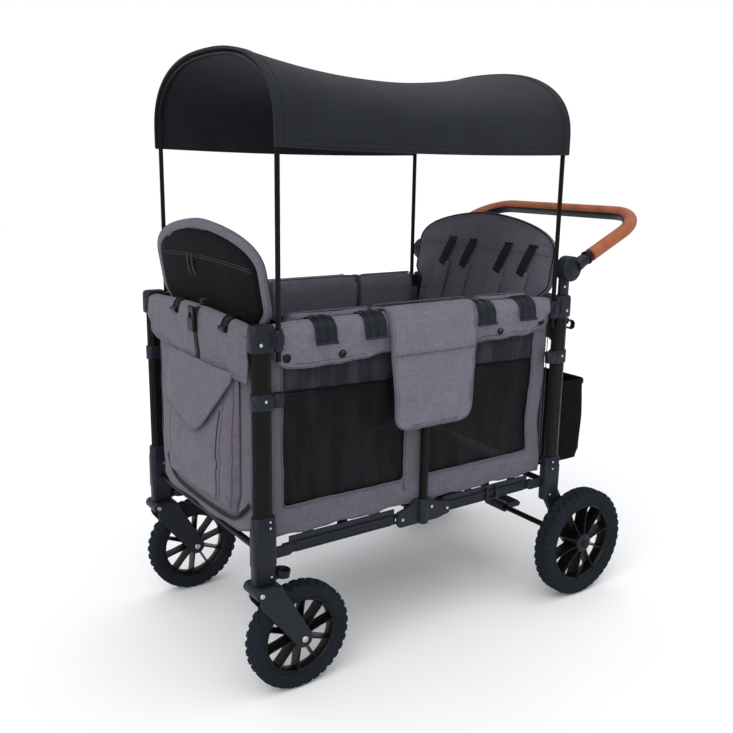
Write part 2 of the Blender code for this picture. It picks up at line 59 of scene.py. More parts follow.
POST_Y = (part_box("rear_post_right")[0].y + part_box("rear_post_right")[1].y) / 2
POST_WIDE = 0.046
POST_DEEP = 0.025
RAIL_Z = 0.8535
RAIL_Y = 0.2872            # swinging bars of the fold linkage
LINK_Z = 0.350
PIVOT_OUT = 0.388
PIVOT_MID = 0.075
ROD_X = 0.4205             # canopy rods
ROD_Y = 0.3105
HOOP_SPRING = 1.290
HOOP_RISE = 0.168
HOOP_POWER = 2.4
HUB_X, HUB_Z = 0.470, 0.955
BAR_X, BAR_Z, ARM_Y = 0.767, 1.094, 0.3205
CLOTH_Y = 0.2870           # side cloth
WHEELS = {"front": (-POST_X + 0.090, POST_Y, 0.1335, 0.043),
          "rear": (0.554, 0.341, 0.159, 0.050)}
SIDES = (("left", -1), ("right", 1))


# ---- camera, light and floor ----
CAMERA_AT = Vector((-1.3125 + MIDDLE_X, -1.9139, 1.2146))
CAMERA_LENS = 42.59
AMBIENT = 0.68
RIGHT = Vector((0.82077, -0.57103, 0.01615))
UP = Vector((0.11561, 0.19372, 0.97422))


def camera():
    """A camera that looks at the wagon from its front left corner."""
    data = bpy.data.cameras.new("camera")
    data.lens = CAMERA_LENS
    data.sensor_width = 36
    data.clip_start = 0.05
    obj = bpy.data.objects.new("camera", data)
    bpy.context.scene.collection.objects.link(obj)
    turn = Matrix((RIGHT, UP, RIGHT.cross(UP))).transposed().to_4x4()
    obj.matrix_world = Matrix.Translation(CAMERA_AT) @ turn
    bpy.context.scene.camera = obj


def sun(name, way, strength, spread):
    """A soft light from far away; way points from the light to the object."""
    data = bpy.data.lights.new(name, "SUN")
    data.energy = strength
    data.angle = math.radians(spread)
    obj = bpy.data.objects.new(name, data)
    bpy.context.scene.collection.objects.link(obj)
    obj.matrix_world = Vector(way).to_track_quat("-Z", "Y").to_matrix().to_4x4()


def studio():
    """A white room: bright to look at, and softer as a source of light."""
    world = bpy.data.worlds.new("studio")
    bpy.context.scene.world = world
    world.use_nodes = True
    tree = world.node_tree
    seen = tree.nodes["Background"]
    seen.inputs["Color"].default_value = (1.0, 1.0, 1.0, 1)
    seen.inputs["Strength"].default_value = 1.0
    around = tree.nodes.new("ShaderNodeBackground")
    around.inputs["Color"].default_value = (0.93, 0.96, 1.0, 1)
    around.inputs["Strength"].default_value = AMBIENT
    path = tree.nodes.new("ShaderNodeLightPath")
    mixed = tree.nodes.new("ShaderNodeMixShader")
    tree.links.new(path.outputs["Is Camera Ray"], mixed.inputs[0])
    tree.links.new(around.outputs[0], mixed.inputs[1])
    tree.links.new(seen.outputs[0], mixed.inputs[2])
    tree.links.new(mixed.outputs[0], tree.nodes["World Output"].inputs["Surface"])
    bpy.context.scene.view_settings.view_transform = "Standard"
    sun("key", (0.80, 0.36, -0.85), 0.95, 50)
    sun("top", (-0.10, 0.12, -1.0), 1.15, 90)
    sun("front", (0.72, 0.55, -0.30), 0.80, 70)


# ---- node materials ----
MIX_FACTOR, MIX_A, MIX_B, MIX_COLOUR = 0, 6, 7, 2      # sockets of a colour mix
WEAVE_PITCH = 0.0011
CANOPY_PITCH = 0.0012
NET_PITCH = 0.0046
STRAP_PITCH = 0.0017


class Nodes:
    """A short way to write a shader tree."""

    def __init__(self, name):
        self.material = bpy.data.materials.new(name)
        self.material.use_nodes = True
        self.tree = self.material.node_tree
        self.shader = self.tree.nodes["Principled BSDF"]
        self.where = self.tree.nodes.new("ShaderNodeTexCoord").outputs["Object"]

    def feed(self, socket, value):
        """Links a socket to another node's output, or gives it a constant."""
        if isinstance(value, bpy.types.NodeSocket):
            self.tree.links.new(value, socket)
        elif socket.type == "RGBA":
            socket.default_value = (*value, 1)
        else:
            socket.default_value = value

    def node(self, kind, **inputs):
        made_node = self.tree.nodes.new("ShaderNode" + kind)
        for key, value in inputs.items():
            socket = key.replace("_", " ")
            if hasattr(made_node, key) and socket not in made_node.inputs:
                setattr(made_node, key, value)
            else:
                self.feed(made_node.inputs[socket], value)
        return made_node

    def link(self, output, socket):
        self.tree.links.new(output, self.shader.inputs[socket])

    def set(self, **values):
        for key, value in values.items():
            self.shader.inputs[key.replace("_", " ")].default_value = value

    def stretched(self, scale):
        return self.node("Mapping", Vector=self.where, Scale=scale).outputs["Vector"]

    def fuzz(self, scale, detail=2.0, rough=0.5, vector=None):
        """Noise from 0 to 1."""
        return self.node("TexNoise", Vector=vector or self.where, Scale=scale, Detail=detail,
                         Roughness=rough).outputs["Fac"]

    def math(self, operation, a, b=0.0):
        made_node = self.tree.nodes.new("ShaderNodeMath")
        made_node.operation = operation
        for socket, value in zip(made_node.inputs, (a, b)):
            self.feed(socket, value)
        return made_node.outputs[0]

    def ramp(self, value, *stops):
        """Colours along a value; each stop is (position, colour)."""
        made_node = self.node("ValToRGB", Fac=value)
        ramp = made_node.color_ramp
        while len(ramp.elements) < len(stops):
            ramp.elements.new(0.5)
        for element, (at, colour) in zip(ramp.elements, stops):
            element.position = at
            element.color = (*colour, 1)
        return made_node.outputs["Color"]

    def spread(self, value, low, high, out_low, out_high):
        return self.node("MapRange", Value=value, From_Min=low, From_Max=high, To_Min=out_low,
                         To_Max=out_high).outputs["Result"]

    def mix(self, factor, a, b):
        """Colour a where the factor is 0 and colour b where it is 1."""
        made_node = self.tree.nodes.new("ShaderNodeMix")
        made_node.data_type = "RGBA"
        for index, value in ((MIX_FACTOR, factor), (MIX_A, a), (MIX_B, b)):
            self.feed(made_node.inputs[index], value)
        return made_node.outputs[MIX_COLOUR]

    def bumps(self, *layers):
        """Surface relief from layers of (height, depth in metres)."""
        normal = None
        for height, depth in layers:
            bump = self.node("Bump", Height=height, Strength=1.0, Distance=depth)
            if normal:
                self.tree.links.new(normal, bump.inputs["Normal"])
            normal = bump.outputs["Normal"]
        self.link(normal, "Normal")

    def threads(self, pitch):
        """Crossed threads of a plain weave on upright cloth, from 0 to 1."""
        split = self.node("SeparateXYZ", Vector=self.where)
        turn = 2 * math.pi / pitch
        along = self.math("ADD", split.outputs["X"], split.outputs["Y"])
        warp = self.math("SINE", self.math("MULTIPLY", along, turn))
        weft = self.math("SINE", self.math("MULTIPLY", split.outputs["Z"], turn))
        return self.math("MULTIPLY_ADD", self.math("MULTIPLY", warp, weft), 0.5)

    def finish(self, colour, roughness, relief, **values):
        """Wires up the shader and returns the material."""
        self.link(colour, "Base Color")
        self.link(roughness, "Roughness")
        if relief:
            self.bumps(*relief)
        self.set(**values)
        return self.material


def shade(colour, factor):
    return tuple(c * factor for c in colour)


def cloth(name, colour, heather=0.24, sheen=0.10, gloss=0.2):
    """A woven cloth with mottled yarn, slubs and a soft sheen."""
    n = Nodes(name)
    level = n.fuzz(26, 3)
    yarn_up = n.fuzz(1, 4, 0.75, n.stretched((420, 420, 42)))
    yarn_along = n.fuzz(1, 4, 0.75, n.stretched((42, 42, 420)))
    yarn = n.math("MULTIPLY", n.math("ADD", yarn_up, yarn_along), 0.5)
    fleck = n.fuzz(420, 2, 0.6)
    low, high = shade(colour, 1 - heather), shade(colour, 1 + heather)
    base = n.ramp(yarn, (0.40, low), (0.50, colour), (0.60, high))
    base = n.mix(n.spread(fleck, 0.35, 0.70, 0.0, 0.35), base, shade(colour, 1.25))
    base = n.mix(n.spread(level, 0.35, 0.65, 0.0, 0.22), base, shade(colour, 0.72))
    relief = ((n.fuzz(34, 4, 0.6), 0.0034), (n.threads(WEAVE_PITCH), 0.00022), (yarn, 0.0006))
    return n.finish(base, n.spread(yarn, 0.3, 0.7, 0.96, 0.82), relief,
                    Sheen_Weight=sheen, Sheen_Roughness=0.45, Specular_IOR_Level=gloss)


def smooth_cloth(name, colour):
    """A tight, smooth canopy cloth."""
    n = Nodes(name)
    level = n.fuzz(9, 4)
    fine = n.fuzz(700, 2, 0.6)
    base = n.ramp(level, (0.35, shade(colour, 0.82)), (0.65, shade(colour, 1.15)))
    base = n.mix(n.spread(fine, 0.35, 0.65, 0.0, 0.35), base, shade(colour, 1.45))
    relief = ((n.fuzz(22, 3, 0.55), 0.0016), (n.threads(CANOPY_PITCH), 0.00015))
    return n.finish(base, n.spread(fine, 0.3, 0.7, 0.83, 0.67), relief,
                    Sheen_Weight=0.05, Sheen_Roughness=0.4, Specular_IOR_Level=0.16)


def netting(name, colour):
    """Knitted mesh: rows of small holes between shiny threads, which let a little light through; nearly
    opaque, so its black is partly the mesh's own colour and partly painted shade for the dim inside of the
    tub.
    """
    n = Nodes(name)
    split = n.node("SeparateXYZ", Vector=n.where)
    turn = 2 * math.pi / NET_PITCH
    along = n.math("ADD", split.outputs["X"], split.outputs["Y"])
    across = n.math("SINE", n.math("MULTIPLY", along, turn))
    down = n.math("SINE", n.math("MULTIPLY", split.outputs["Z"], turn))
    knit = n.spread(n.math("MULTIPLY", across, down), -0.55, 0.35, 0.0, 1.0)
    # Tall upright streaks darken the mesh colour: painted shade and sheen of the vertical folds in the
    # netting.
    patch = n.fuzz(1, 3, 0.6, n.stretched((24, 24, 4.5)))
    base = n.ramp(knit, (0.0, shade(colour, 0.25)), (1.0, shade(colour, 1.7)))
    base = n.mix(n.spread(patch, 0.42, 0.58, 0.0, 0.75), base, shade(colour, 0.35))
    # Alpha only falls to 0.985 in the holes: the near-opaque black also stands in as painted shade for the
    # shaded inside seen through the mesh.
    n.link(n.spread(knit, 0.0, 1.0, 0.985, 1.0), "Alpha")
    relief = ((n.fuzz(30, 2), 0.0020), (knit, 0.0004))
    return n.finish(base, n.spread(knit, 0.0, 1.0, 0.75, 0.5), relief, Specular_IOR_Level=0.10)


def webbing(name, colour):
    """Flat woven strap with cross ribs."""
    n = Nodes(name)
    split = n.node("SeparateXYZ", Vector=n.where)
    along = n.math("ADD", split.outputs["Z"], split.outputs["X"])
    rib = n.math("SINE", n.math("MULTIPLY", along, 2 * math.pi / STRAP_PITCH))
    wear = n.fuzz(90, 3)
    base = n.ramp(n.spread(rib, -1, 1, 0, 1), (0.0, shade(colour, 0.6)), (1.0, shade(colour, 1.3)))
    base = n.mix(n.spread(wear, 0.45, 0.75, 0.0, 0.4), base, shade(colour, 1.9))
    return n.finish(base, n.spread(wear, 0.3, 0.7, 0.62, 0.8), ((rib, 0.0003), (wear, 0.0004)),
                    Specular_IOR_Level=0.2, Sheen_Weight=0.03)


def coated(name, colour):
    """Powder-coated tube: fine orange peel, smears of dust and rubbed edges."""
    n = Nodes(name)
    dust = n.fuzz(14, 5, 0.6)
    peel = n.fuzz(900, 2)
    base = n.ramp(dust, (0.35, shade(colour, 0.85)), (0.72, shade(colour, 1.5)))
    edge = n.spread(n.node("NewGeometry").outputs["Pointiness"], 0.52, 0.60, 0.0, 0.5)
    base = n.mix(edge, base, shade(colour, 3.5))
    relief = ((peel, 0.00003), (n.fuzz(120, 2), 0.00005))
    return n.finish(base, n.spread(dust, 0.3, 0.75, 0.21, 0.44), relief,
                    Coat_Weight=0.04, Coat_Roughness=0.12, Specular_IOR_Level=0.06)


def moulded(name, colour, rough=0.42):
    """Moulded plastic with a fine spark-eroded grain and paler rubbed corners."""
    n = Nodes(name)
    grain = n.fuzz(1500, 2, 0.6)
    tone = n.fuzz(18, 4)
    scuff = n.fuzz(1, 5, 0.7, n.stretched((60, 60, 240)))
    base = n.ramp(tone, (0.35, shade(colour, 0.88)), (0.68, shade(colour, 1.15)))
    base = n.mix(n.spread(scuff, 0.60, 0.80, 0.0, 0.35), base, shade(colour, 1.7))
    edge = n.spread(n.node("NewGeometry").outputs["Pointiness"], 0.52, 0.60, 0.0, 0.45)
    base = n.mix(edge, base, shade(colour, 2.4))
    worn = n.spread(n.math("ADD", tone, scuff), 0.7, 1.3, rough - 0.08, rough + 0.12)
    relief = ((grain, 0.00012), (n.fuzz(35, 2), 0.0002))
    return n.finish(base, worn, relief, Specular_IOR_Level=0.18)


def leather(name, colour):
    """Tanned leather: pebbled grain, creases and darker handled patches."""
    n = Nodes(name)
    cells = n.node("TexVoronoi", Vector=n.where, Scale=620.0, feature="DISTANCE_TO_EDGE")
    grain = n.spread(cells.outputs["Distance"], 0.0, 0.22, 0.0, 1.0)
    patch = n.fuzz(24, 4)
    crease = n.fuzz(1, 4, 0.6, n.stretched((260, 60, 260)))
    base = n.ramp(patch, (0.32, shade(colour, 0.68)), (0.52, colour), (0.75, shade(colour, 1.22)))
    base = n.mix(n.spread(grain, 0.0, 0.45, 0.45, 0.0), base, shade(colour, 0.45))
    base = n.mix(n.spread(crease, 0.56, 0.72, 0.0, 0.35), base, shade(colour, 0.5))
    relief = ((grain, 0.00022), (crease, 0.00035))
    return n.finish(base, n.spread(patch, 0.3, 0.7, 0.40, 0.56), relief,
                    Coat_Weight=0.05, Coat_Roughness=0.35, Specular_IOR_Level=0.3)


def rubber(name, colour):
    """Foam-filled rubber with mould texture and dry dust."""
    n = Nodes(name)
    dust = n.fuzz(20, 5, 0.65)
    pores = n.fuzz(800, 2, 0.6)
    base = n.ramp(dust, (0.35, shade(colour, 0.8)), (0.62, colour), (0.8, shade(colour, 1.7)))
    base = n.mix(n.spread(pores, 0.45, 0.7, 0.0, 0.25), base, shade(colour, 1.5))
    relief = ((pores, 0.00018), (n.fuzz(60, 3), 0.0003))
    return n.finish(base, n.spread(dust, 0.3, 0.7, 0.62, 0.80), relief, Specular_IOR_Level=0.05)


def steel(name, colour):
    """Zinc-plated steel with turned streaks."""
    n = Nodes(name)
    streak = n.fuzz(1, 3, 0.6, n.stretched((900, 120, 900)))
    spot = n.fuzz(240, 3)
    base = n.ramp(spot, (0.35, shade(colour, 0.75)), (0.62, colour))
    return n.finish(base, n.spread(streak, 0.3, 0.7, 0.17, 0.38), ((streak, 0.00006), (spot, 0.00005)),
                    Metallic=1.0)


def pale_floor(name):
    """A nearly white floor with faint shading."""
    n = Nodes(name)
    level = n.fuzz(1.2, 2)
    base = n.ramp(level, (0.3, (0.86, 0.86, 0.86)), (0.7, (0.89, 0.89, 0.89)))
    return n.finish(base, n.spread(level, 0.3, 0.7, 0.85, 0.9), (), Specular_IOR_Level=0.1)


GREY = cloth("grey_cloth", (0.108, 0.096, 0.123))
# A paler copy of the grey cloth, as painted light: the same cloth made brighter where it lies in shade or
# faces the lamps.
GREY_PAINTED_LIT = cloth("grey_cloth_painted_lit", (0.150, 0.134, 0.172))
GREY_PIPING = cloth("grey_piping", (0.092, 0.083, 0.106), heather=0.2)
BLACK = cloth("black_cloth", (0.0040, 0.0040, 0.0050), heather=0.35, sheen=0.02, gloss=0.06)
CANOPY = smooth_cloth("canopy_cloth", (0.0125, 0.0142, 0.0190))
NET = netting("black_netting", (0.0075, 0.0080, 0.0095))
NET_BAND = netting("doubled_netting", (0.030, 0.031, 0.042))
STRAP = webbing("black_webbing", (0.0060, 0.0060, 0.0070))
TANK = coated("gloss_black_tube", (0.0025, 0.0024, 0.0024))
SLATE = moulded("slate_moulding", (0.0080, 0.0096, 0.0150))
DARK = moulded("black_moulding", (0.0030, 0.0030, 0.0035), 0.38)
LEATHER = leather("brown_leather", (0.350, 0.095, 0.036))
TYRE = rubber("tyre_rubber", (0.0125, 0.0142, 0.0205))
STEEL = steel("bright_steel", (0.55, 0.55, 0.56))


# ---- mesh helpers ----
def made(name, bm, sharp=40):
    """Turns a bmesh laid out from the middle of the frame into an object in the row frame."""
    bmesh.ops.recalc_face_normals(bm, faces=bm.faces)
    bmesh.ops.translate(bm, vec=(MIDDLE_X, 0, 0), verts=bm.verts)
    mesh = bpy.data.meshes.new(name)
    bm.to_mesh(mesh)
    bm.free()
    obj = bpy.data.objects.new(name, mesh)
    bpy.context.scene.collection.objects.link(obj)
    mesh.shade_smooth()
    mesh.set_sharp_from_angle(angle=math.radians(sharp))
    return obj


def applied(obj):
    """Bakes the modifiers into the mesh."""
    bpy.context.view_layer.update()
    seen = obj.evaluated_get(bpy.context.evaluated_depsgraph_get())
    mesh = bpy.data.meshes.new_from_object(seen)
    obj.modifiers.clear()
    old = obj.data
    obj.data = mesh
    bpy.data.meshes.remove(old)
    return obj


def rounded_edges(obj, width, segments=2, angle=35):
    bevel = obj.modifiers.new("round", "BEVEL")
    bevel.width = width
    bevel.segments = segments
    bevel.limit_method = "ANGLE"
    bevel.angle_limit = math.radians(angle)
    bevel.harden_normals = True
    return applied(obj)


def thick(obj, depth, offset=0.0):
    solid = obj.modifiers.new("thick", "SOLIDIFY")
    solid.thickness = depth
    solid.offset = offset
    return applied(obj)


def finer(obj):
    rounder = obj.modifiers.new("finer", "SUBSURF")
    rounder.levels = 1
    applied(obj)
    obj.data.shade_smooth()
    return obj


def wrinkled(obj, depth, scale, seed):
    """Moves the vertices along their normals by smooth noise."""
    mesh = obj.data
    normals = [v.normal.copy() for v in mesh.vertices]
    for vert, normal in zip(mesh.vertices, normals):
        spot = Vector(vert.co[k] * scale for k in range(3)) + Vector((seed, 0, 0))
        amount = noise.noise(spot) + 0.5 * noise.noise(spot * 2.1)
        vert.co += normal * depth * amount
    mesh.update()
    return obj


def joined(name, parts):
    """One object from several; each part keeps its own place in the mesh."""
    bm = bmesh.new()
    for part in parts:
        bm.from_mesh(part.data)
    mesh = bpy.data.meshes.new(name)
    bm.to_mesh(mesh)
    bm.free()
    for part in parts:
        old = part.data
        bpy.data.objects.remove(part)
        bpy.data.meshes.remove(old)
    obj = bpy.data.objects.new(name, mesh)
    bpy.context.scene.collection.objects.link(obj)
    return obj


def piece(obj, body, material, *replaced):
    """Gives a finished piece its body, its material and the CAD nodes that it stands for."""
    obj.data.materials.clear()
    obj.data.materials.append(material)
    for face in obj.data.polygons:
        face.material_index = 0
    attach(obj, body)
    if replaced:
        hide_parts(*replaced)
    return obj


def folds(obj):
    """Gives a cloth piece its own copy of its mesh."""
    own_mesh(obj)
    return obj


def steps(low, high, count):
    return [low + (high - low) * k / count for k in range(count + 1)]


def smoothstep(low, high, value):
    t = min(1.0, max(0.0, (value - low) / (high - low)))
    return t * t * (3 - 2 * t)


def between(table, value):
    """Reads a smooth line through a short table of (place, value)."""
    for (a, low), (b, high) in zip(table, table[1:]):
        if value <= b:
            return low + (high - low) * smoothstep(a, b, value)
    return table[-1][1]


def straight(table, value):
    """Reads straight lines through a short table of (place, value)."""
    for (a, low), (b, high) in zip(table, table[1:]):
        if value <= b:
            return low + (high - low) * (value - a) / (b - a)
    return table[-1][1]


def signed_power(value, exponent):
    return math.copysign(abs(value) ** exponent, value)


def skinned(name, rings, around=False, sharp=40):
    """A surface through rings of points, capped at both ends or run all the way around."""
    bm = bmesh.new()
    rings = [[bm.verts.new(point) for point in ring] for ring in rings]
    for low, high in zip(rings, rings[1:] + (rings[:1] if around else [])):
        for i in range(len(low)):
            j = (i + 1) % len(low)
            bm.faces.new((low[i], low[j], high[j], high[i]))
    if not around:
        bm.faces.new(rings[0])
        bm.faces.new(list(reversed(rings[-1])))
    return made(name, bm, sharp)


def grid(name, us, vs, point, skip=None, ring=False):
    """A sheet of quads through point(u, v); skip(u, v) leaves out faces by their middle."""
    bm = bmesh.new()
    rows = [[bm.verts.new(point(u, v)) for u in us] for v in vs]
    across = len(us) if ring else len(us) - 1
    for j in range(len(vs) - 1):
        for i in range(across):
            k = (i + 1) % len(us)
            if skip and skip((us[i] + us[k]) / 2, (vs[j] + vs[j + 1]) / 2):
                continue
            bm.faces.new((rows[j][i], rows[j][k], rows[j + 1][k], rows[j + 1][i]))
    bmesh.ops.delete(bm, geom=[v for v in bm.verts if not v.link_faces], context="VERTS")
    return made(name, bm, 180)


def round_section(radius, sides=10):
    return [(radius * math.cos(2 * math.pi * k / sides), radius * math.sin(2 * math.pi * k / sides))
            for k in range(sides)]


def flat_section(wide, deep, radius=None, per_corner=3):
    """A rectangle with round corners."""
    radius = min(wide, deep) * 0.45 if radius is None else radius
    x, y = wide / 2 - radius, deep / 2 - radius
    points = []
    for k, (cx, cy) in enumerate(((x, y), (-x, y), (-x, -y), (x, -y))):
        for j in range(per_corner + 1):
            turn = math.pi / 2 * (k + j / per_corner)
            points.append((cx + radius * math.cos(turn), cy + radius * math.sin(turn)))
    return points


def swept(name, path, section, up=(0, 0, 1), closed=False, sizes=None):
    """A section carried along a path; its second axis keeps towards up, one vector or one per point."""
    path = [Vector(p) for p in path]
    count = len(path)
    rings = []
    for k, spot in enumerate(path):
        before = path[k - 1] if k or closed else spot
        after = path[(k + 1) % count] if k < count - 1 or closed else spot
        along = (after - before).normalized()
        tip = Vector(up[k]) if isinstance(up, list) else Vector(up)
        side = along.cross(tip).normalized()
        top = side.cross(along)
        size = sizes[k] if sizes else 1.0
        rings.append([spot + side * a * size + top * b * size for a, b in section])
    return skinned(name, rings, closed)


def lathed(name, profile, centre, axis=(0, 1, 0), turns=24):
    """A solid turned about an axis; the profile is (distance along the axis, radius)."""
    bm = bmesh.new()
    axis = Vector(axis).normalized()
    frame_turn = axis.to_track_quat("Z", "Y").to_matrix()
    rings = []
    for along, radius in profile:
        count = turns if radius > 1e-5 else 1
        ring = []
        for k in range(count):
            a = 2 * math.pi * k / turns
            local = Vector((radius * math.cos(a), radius * math.sin(a), along))
            ring.append(bm.verts.new(Vector(centre) + frame_turn @ local))
        rings.append(ring)
    for low, high in zip(rings, rings[1:]):
        for k in range(turns):
            j = (k + 1) % turns
            face = [low[k % len(low)], low[j % len(low)], high[j % len(high)], high[k % len(high)]]
            face = list(dict.fromkeys(face))
            if len(face) > 2:
                bm.faces.new(face)
    for ring in (rings[0], rings[-1]):
        if len(ring) > 1:
            bm.faces.new(ring)
    return made(name, bm)


def closed_lathe(name, profile, centre, axis=(0, 1, 0), turns=48):
    """A ring turned about an axis from a closed profile."""
    turn_to = Vector(axis).normalized().to_track_quat("Z", "Y").to_matrix()
    rings = []
    for k in range(turns):
        a = 2 * math.pi * k / turns
        rings.append([Vector(centre) + turn_to @ Vector((r * math.cos(a), r * math.sin(a), z))
                      for z, r in profile])
    return skinned(name, rings, True)


def plate(name, outline, low, high, plane="y", round_by=0.0015):
    """A flat plate between two heights along an axis; the outline is in the other two axes."""
    bm = bmesh.new()

    def spot(a, b, c):
        return {"x": (c, a, b), "y": (a, c, b), "z": (a, b, c)}[plane]

    bottom = [bm.verts.new(spot(a, b, low)) for a, b in outline]
    top = [bm.verts.new(spot(a, b, high)) for a, b in outline]
    bm.faces.new(bottom)
    bm.faces.new(list(reversed(top)))
    for k in range(len(outline)):
        j = (k + 1) % len(outline)
        bm.faces.new((bottom[k], bottom[j], top[j], top[k]))
    return rounded_edges(made(name, bm), round_by)


def block(name, low, high, round_by=0.002, segments=2):
    """A box with round edges."""
    low, high = Vector(low), Vector(high)
    bm = bmesh.new()
    bmesh.ops.create_cube(bm, size=1.0)
    size = Vector(abs(high[k] - low[k]) for k in range(3))
    bmesh.ops.scale(bm, vec=size, verts=bm.verts)
    bmesh.ops.translate(bm, vec=(low + high) / 2, verts=bm.verts)
    return rounded_edges(made(name, bm), round_by, segments)


def rivet(name, centre, axis, radius=0.0045, high=0.0022):
    """A domed rivet head."""
    profile = [(-0.001, radius), (high * 0.3, radius), (high * 0.8, radius * 0.72), (high, radius * 0.3),
               (high, 0)]
    return lathed(name, profile, centre, axis, 14)


def softened(node, width, name=None):
    """A copy of a CAD node with rounded edges, to stand for it."""
    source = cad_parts[node]
    bm = bmesh.new()
    bm.from_mesh(source.data)
    bmesh.ops.remove_doubles(bm, verts=bm.verts, dist=0.00005)
    bmesh.ops.dissolve_limit(bm, angle_limit=math.radians(1.5), verts=bm.verts, edges=bm.edges)
    bmesh.ops.translate(bm, vec=(-MIDDLE_X, 0, 0), verts=bm.verts)
    return rounded_edges(made(name or node + "_shell", bm), width, 2, 30)


def loop_of(points, count):
    """A closed line through points, resampled evenly."""
    points = [Vector(p) for p in points]
    lengths = [0.0]
    for a, b in zip(points, points[1:] + points[:1]):
        lengths.append(lengths[-1] + (b - a).length)
    out = []
    for k in range(count):
        goal = lengths[-1] * k / count
        i = max(j for j in range(len(points)) if lengths[j] <= goal)
        a, b = points[i], points[(i + 1) % len(points)]
        t = (goal - lengths[i]) / max(1e-9, lengths[i + 1] - lengths[i])
        out.append(a.lerp(b, t))
    return out


def curved(points, per_span=6):
    """A Catmull-Rom line through points."""
    points = [Vector(p) for p in points]
    ends = [2 * points[0] - points[1]] + points + [2 * points[-1] - points[-2]]
    out = []
    for a, b, c, d in zip(ends, ends[1:], ends[2:], ends[3:]):
        for k in range(per_span):
            t = k / per_span
            out.append(0.5 * ((2 * b) + (c - a) * t + (2 * a - 5 * b + 4 * c - d) * t * t
                              + (3 * b - a - 3 * c + d) * t ** 3))
    out.append(points[-1])
    return out


def even_loop(outline, count):
    """A closed outline of (a, b) pairs, resampled evenly."""
    return [(p.x, p.y) for p in loop_of([(a, b, 0) for a, b in outline], count)]


def capped(tube):
    """Fills the open ends of a tube."""
    bm = bmesh.new()
    bm.from_mesh(tube.data)
    bmesh.ops.holes_fill(bm, edges=[e for e in bm.edges if e.is_boundary], sides=0)
    bm.to_mesh(tube.data)
    bm.free()
    return tube


def rounded_outline(wide, tall, radius, centre=(0, 0), per_corner=5):
    return [(centre[0] + a, centre[1] + b) for a, b in flat_section(wide, tall, radius, per_corner)]


def puffed(obj, pressure, cap, voxel, frames, pinned=None):
    """Blows a closed cloth shape up with Blender's cloth solver, then keeps each point near home."""
    remesh = obj.modifiers.new("even", "REMESH")
    remesh.mode = "VOXEL"
    remesh.voxel_size = voxel
    applied(obj)
    home = [v.co.copy() for v in obj.data.vertices]
    solver = obj.modifiers.new("cloth", "CLOTH")
    settings = solver.settings
    settings.quality = 5
    settings.mass = 0.25
    settings.tension_stiffness = 18
    settings.compression_stiffness = 12
    settings.bending_stiffness = 0.8
    settings.use_pressure = True
    settings.uniform_pressure_force = pressure
    settings.effector_weights.gravity = 0
    solver.collision_settings.use_collision = False
    if pinned:
        group = obj.vertex_groups.new(name="pinned")
        for k, co in enumerate(home):
            weight = pinned(co - Vector((MIDDLE_X, 0, 0)))
            if weight > 0:
                group.add([k], weight, "REPLACE")
        settings.vertex_group_mass = "pinned"
    scene = bpy.context.scene
    for k in range(1, frames + 1):
        scene.frame_set(k)
    applied(obj)
    scene.frame_set(1)
    obj.vertex_groups.clear()
    for vert, was in zip(obj.data.vertices, home):
        move = vert.co - was
        if move.length > cap:
            vert.co = was + move * (cap / move.length)
    obj.data.update()
    return finer(obj)


# ---- cloth tub ----
TUB_LOW, TUB_HIGH = 0.385, 0.838
TUB_FRONT, TUB_REAR = -0.447, 0.425
WINDOWS = ((-0.400, -0.055), (0.018, 0.376))
WINDOW_LOW, WINDOW_HIGH = 0.452, 0.800


def piping(name, path, radius=0.0021, closed=False, up=(0, 1, 0.02)):
    return swept(name, path, round_section(radius, 8), up, closed)


def stitches(name, path, up, length=0.0042, gap=0.0022, radius=0.00045, lift=0.0006):
    """A row of thread stitches laid along a line."""
    dense = curved(path, 4)
    total = sum((b - a).length for a, b in zip(dense, dense[1:]))
    count = max(2, int(total / (length + gap)))
    marks, run, spot = [], 0.0, 0
    for k in range(count):
        for goal in (k * (length + gap), k * (length + gap) + length):
            while spot < len(dense) - 2 and run + (dense[spot + 1] - dense[spot]).length < goal:
                run += (dense[spot + 1] - dense[spot]).length
                spot += 1
            step = dense[spot + 1] - dense[spot]
            marks.append(dense[spot] + step * min(1, (goal - run) / max(1e-9, step.length)))
    lift_by = Vector(up).normalized() * lift
    parts = [swept("stitch", [a + lift_by, b + lift_by], round_section(radius, 5), up)
             for a, b in zip(marks[::2], marks[1::2])]
    return joined(name, parts)


def in_window(x, z):
    return any(a < x < b for a, b in WINDOWS) and WINDOW_LOW < z < WINDOW_HIGH


def side_bulge(x, z):
    """How far the side cloth stands out from its plane."""
    border = 0.0045 * math.sin(math.pi * min(1, max(0, (z - TUB_LOW) / 0.064)))
    slack = 0.0042 * noise.noise(Vector((x * 9, z * 13, 0.3)))
    slack += 0.0022 * noise.noise(Vector((x * 26 + z * 14, z * 30 - x * 9, 1.3)))
    near_hem = math.exp(-abs(z - TUB_LOW - 0.006) / 0.016) + 0.6 * math.exp(-abs(z - WINDOW_LOW) / 0.010)
    puckers = 0.0016 * near_hem * noise.noise(Vector((x * 75, z * 12, 6.1)))
    behind_post = 0.6 * smoothstep(0.415, 0.432, abs(x))
    return (border + slack + puckers) * (1 - behind_post) - 0.0012 * behind_post


def hem_drop(x):
    """The lower hem hangs a little between its tabs."""
    return 0.0028 * math.cos(x * 39) + 0.0012 * math.cos(x * 91)


def strip_drift(x, z):
    """The rear border strip is drawn forwards below its middle."""
    return 0.013 * smoothstep(0.30, 0.376, x) * math.exp(-((z - 0.545) / 0.075) ** 2)


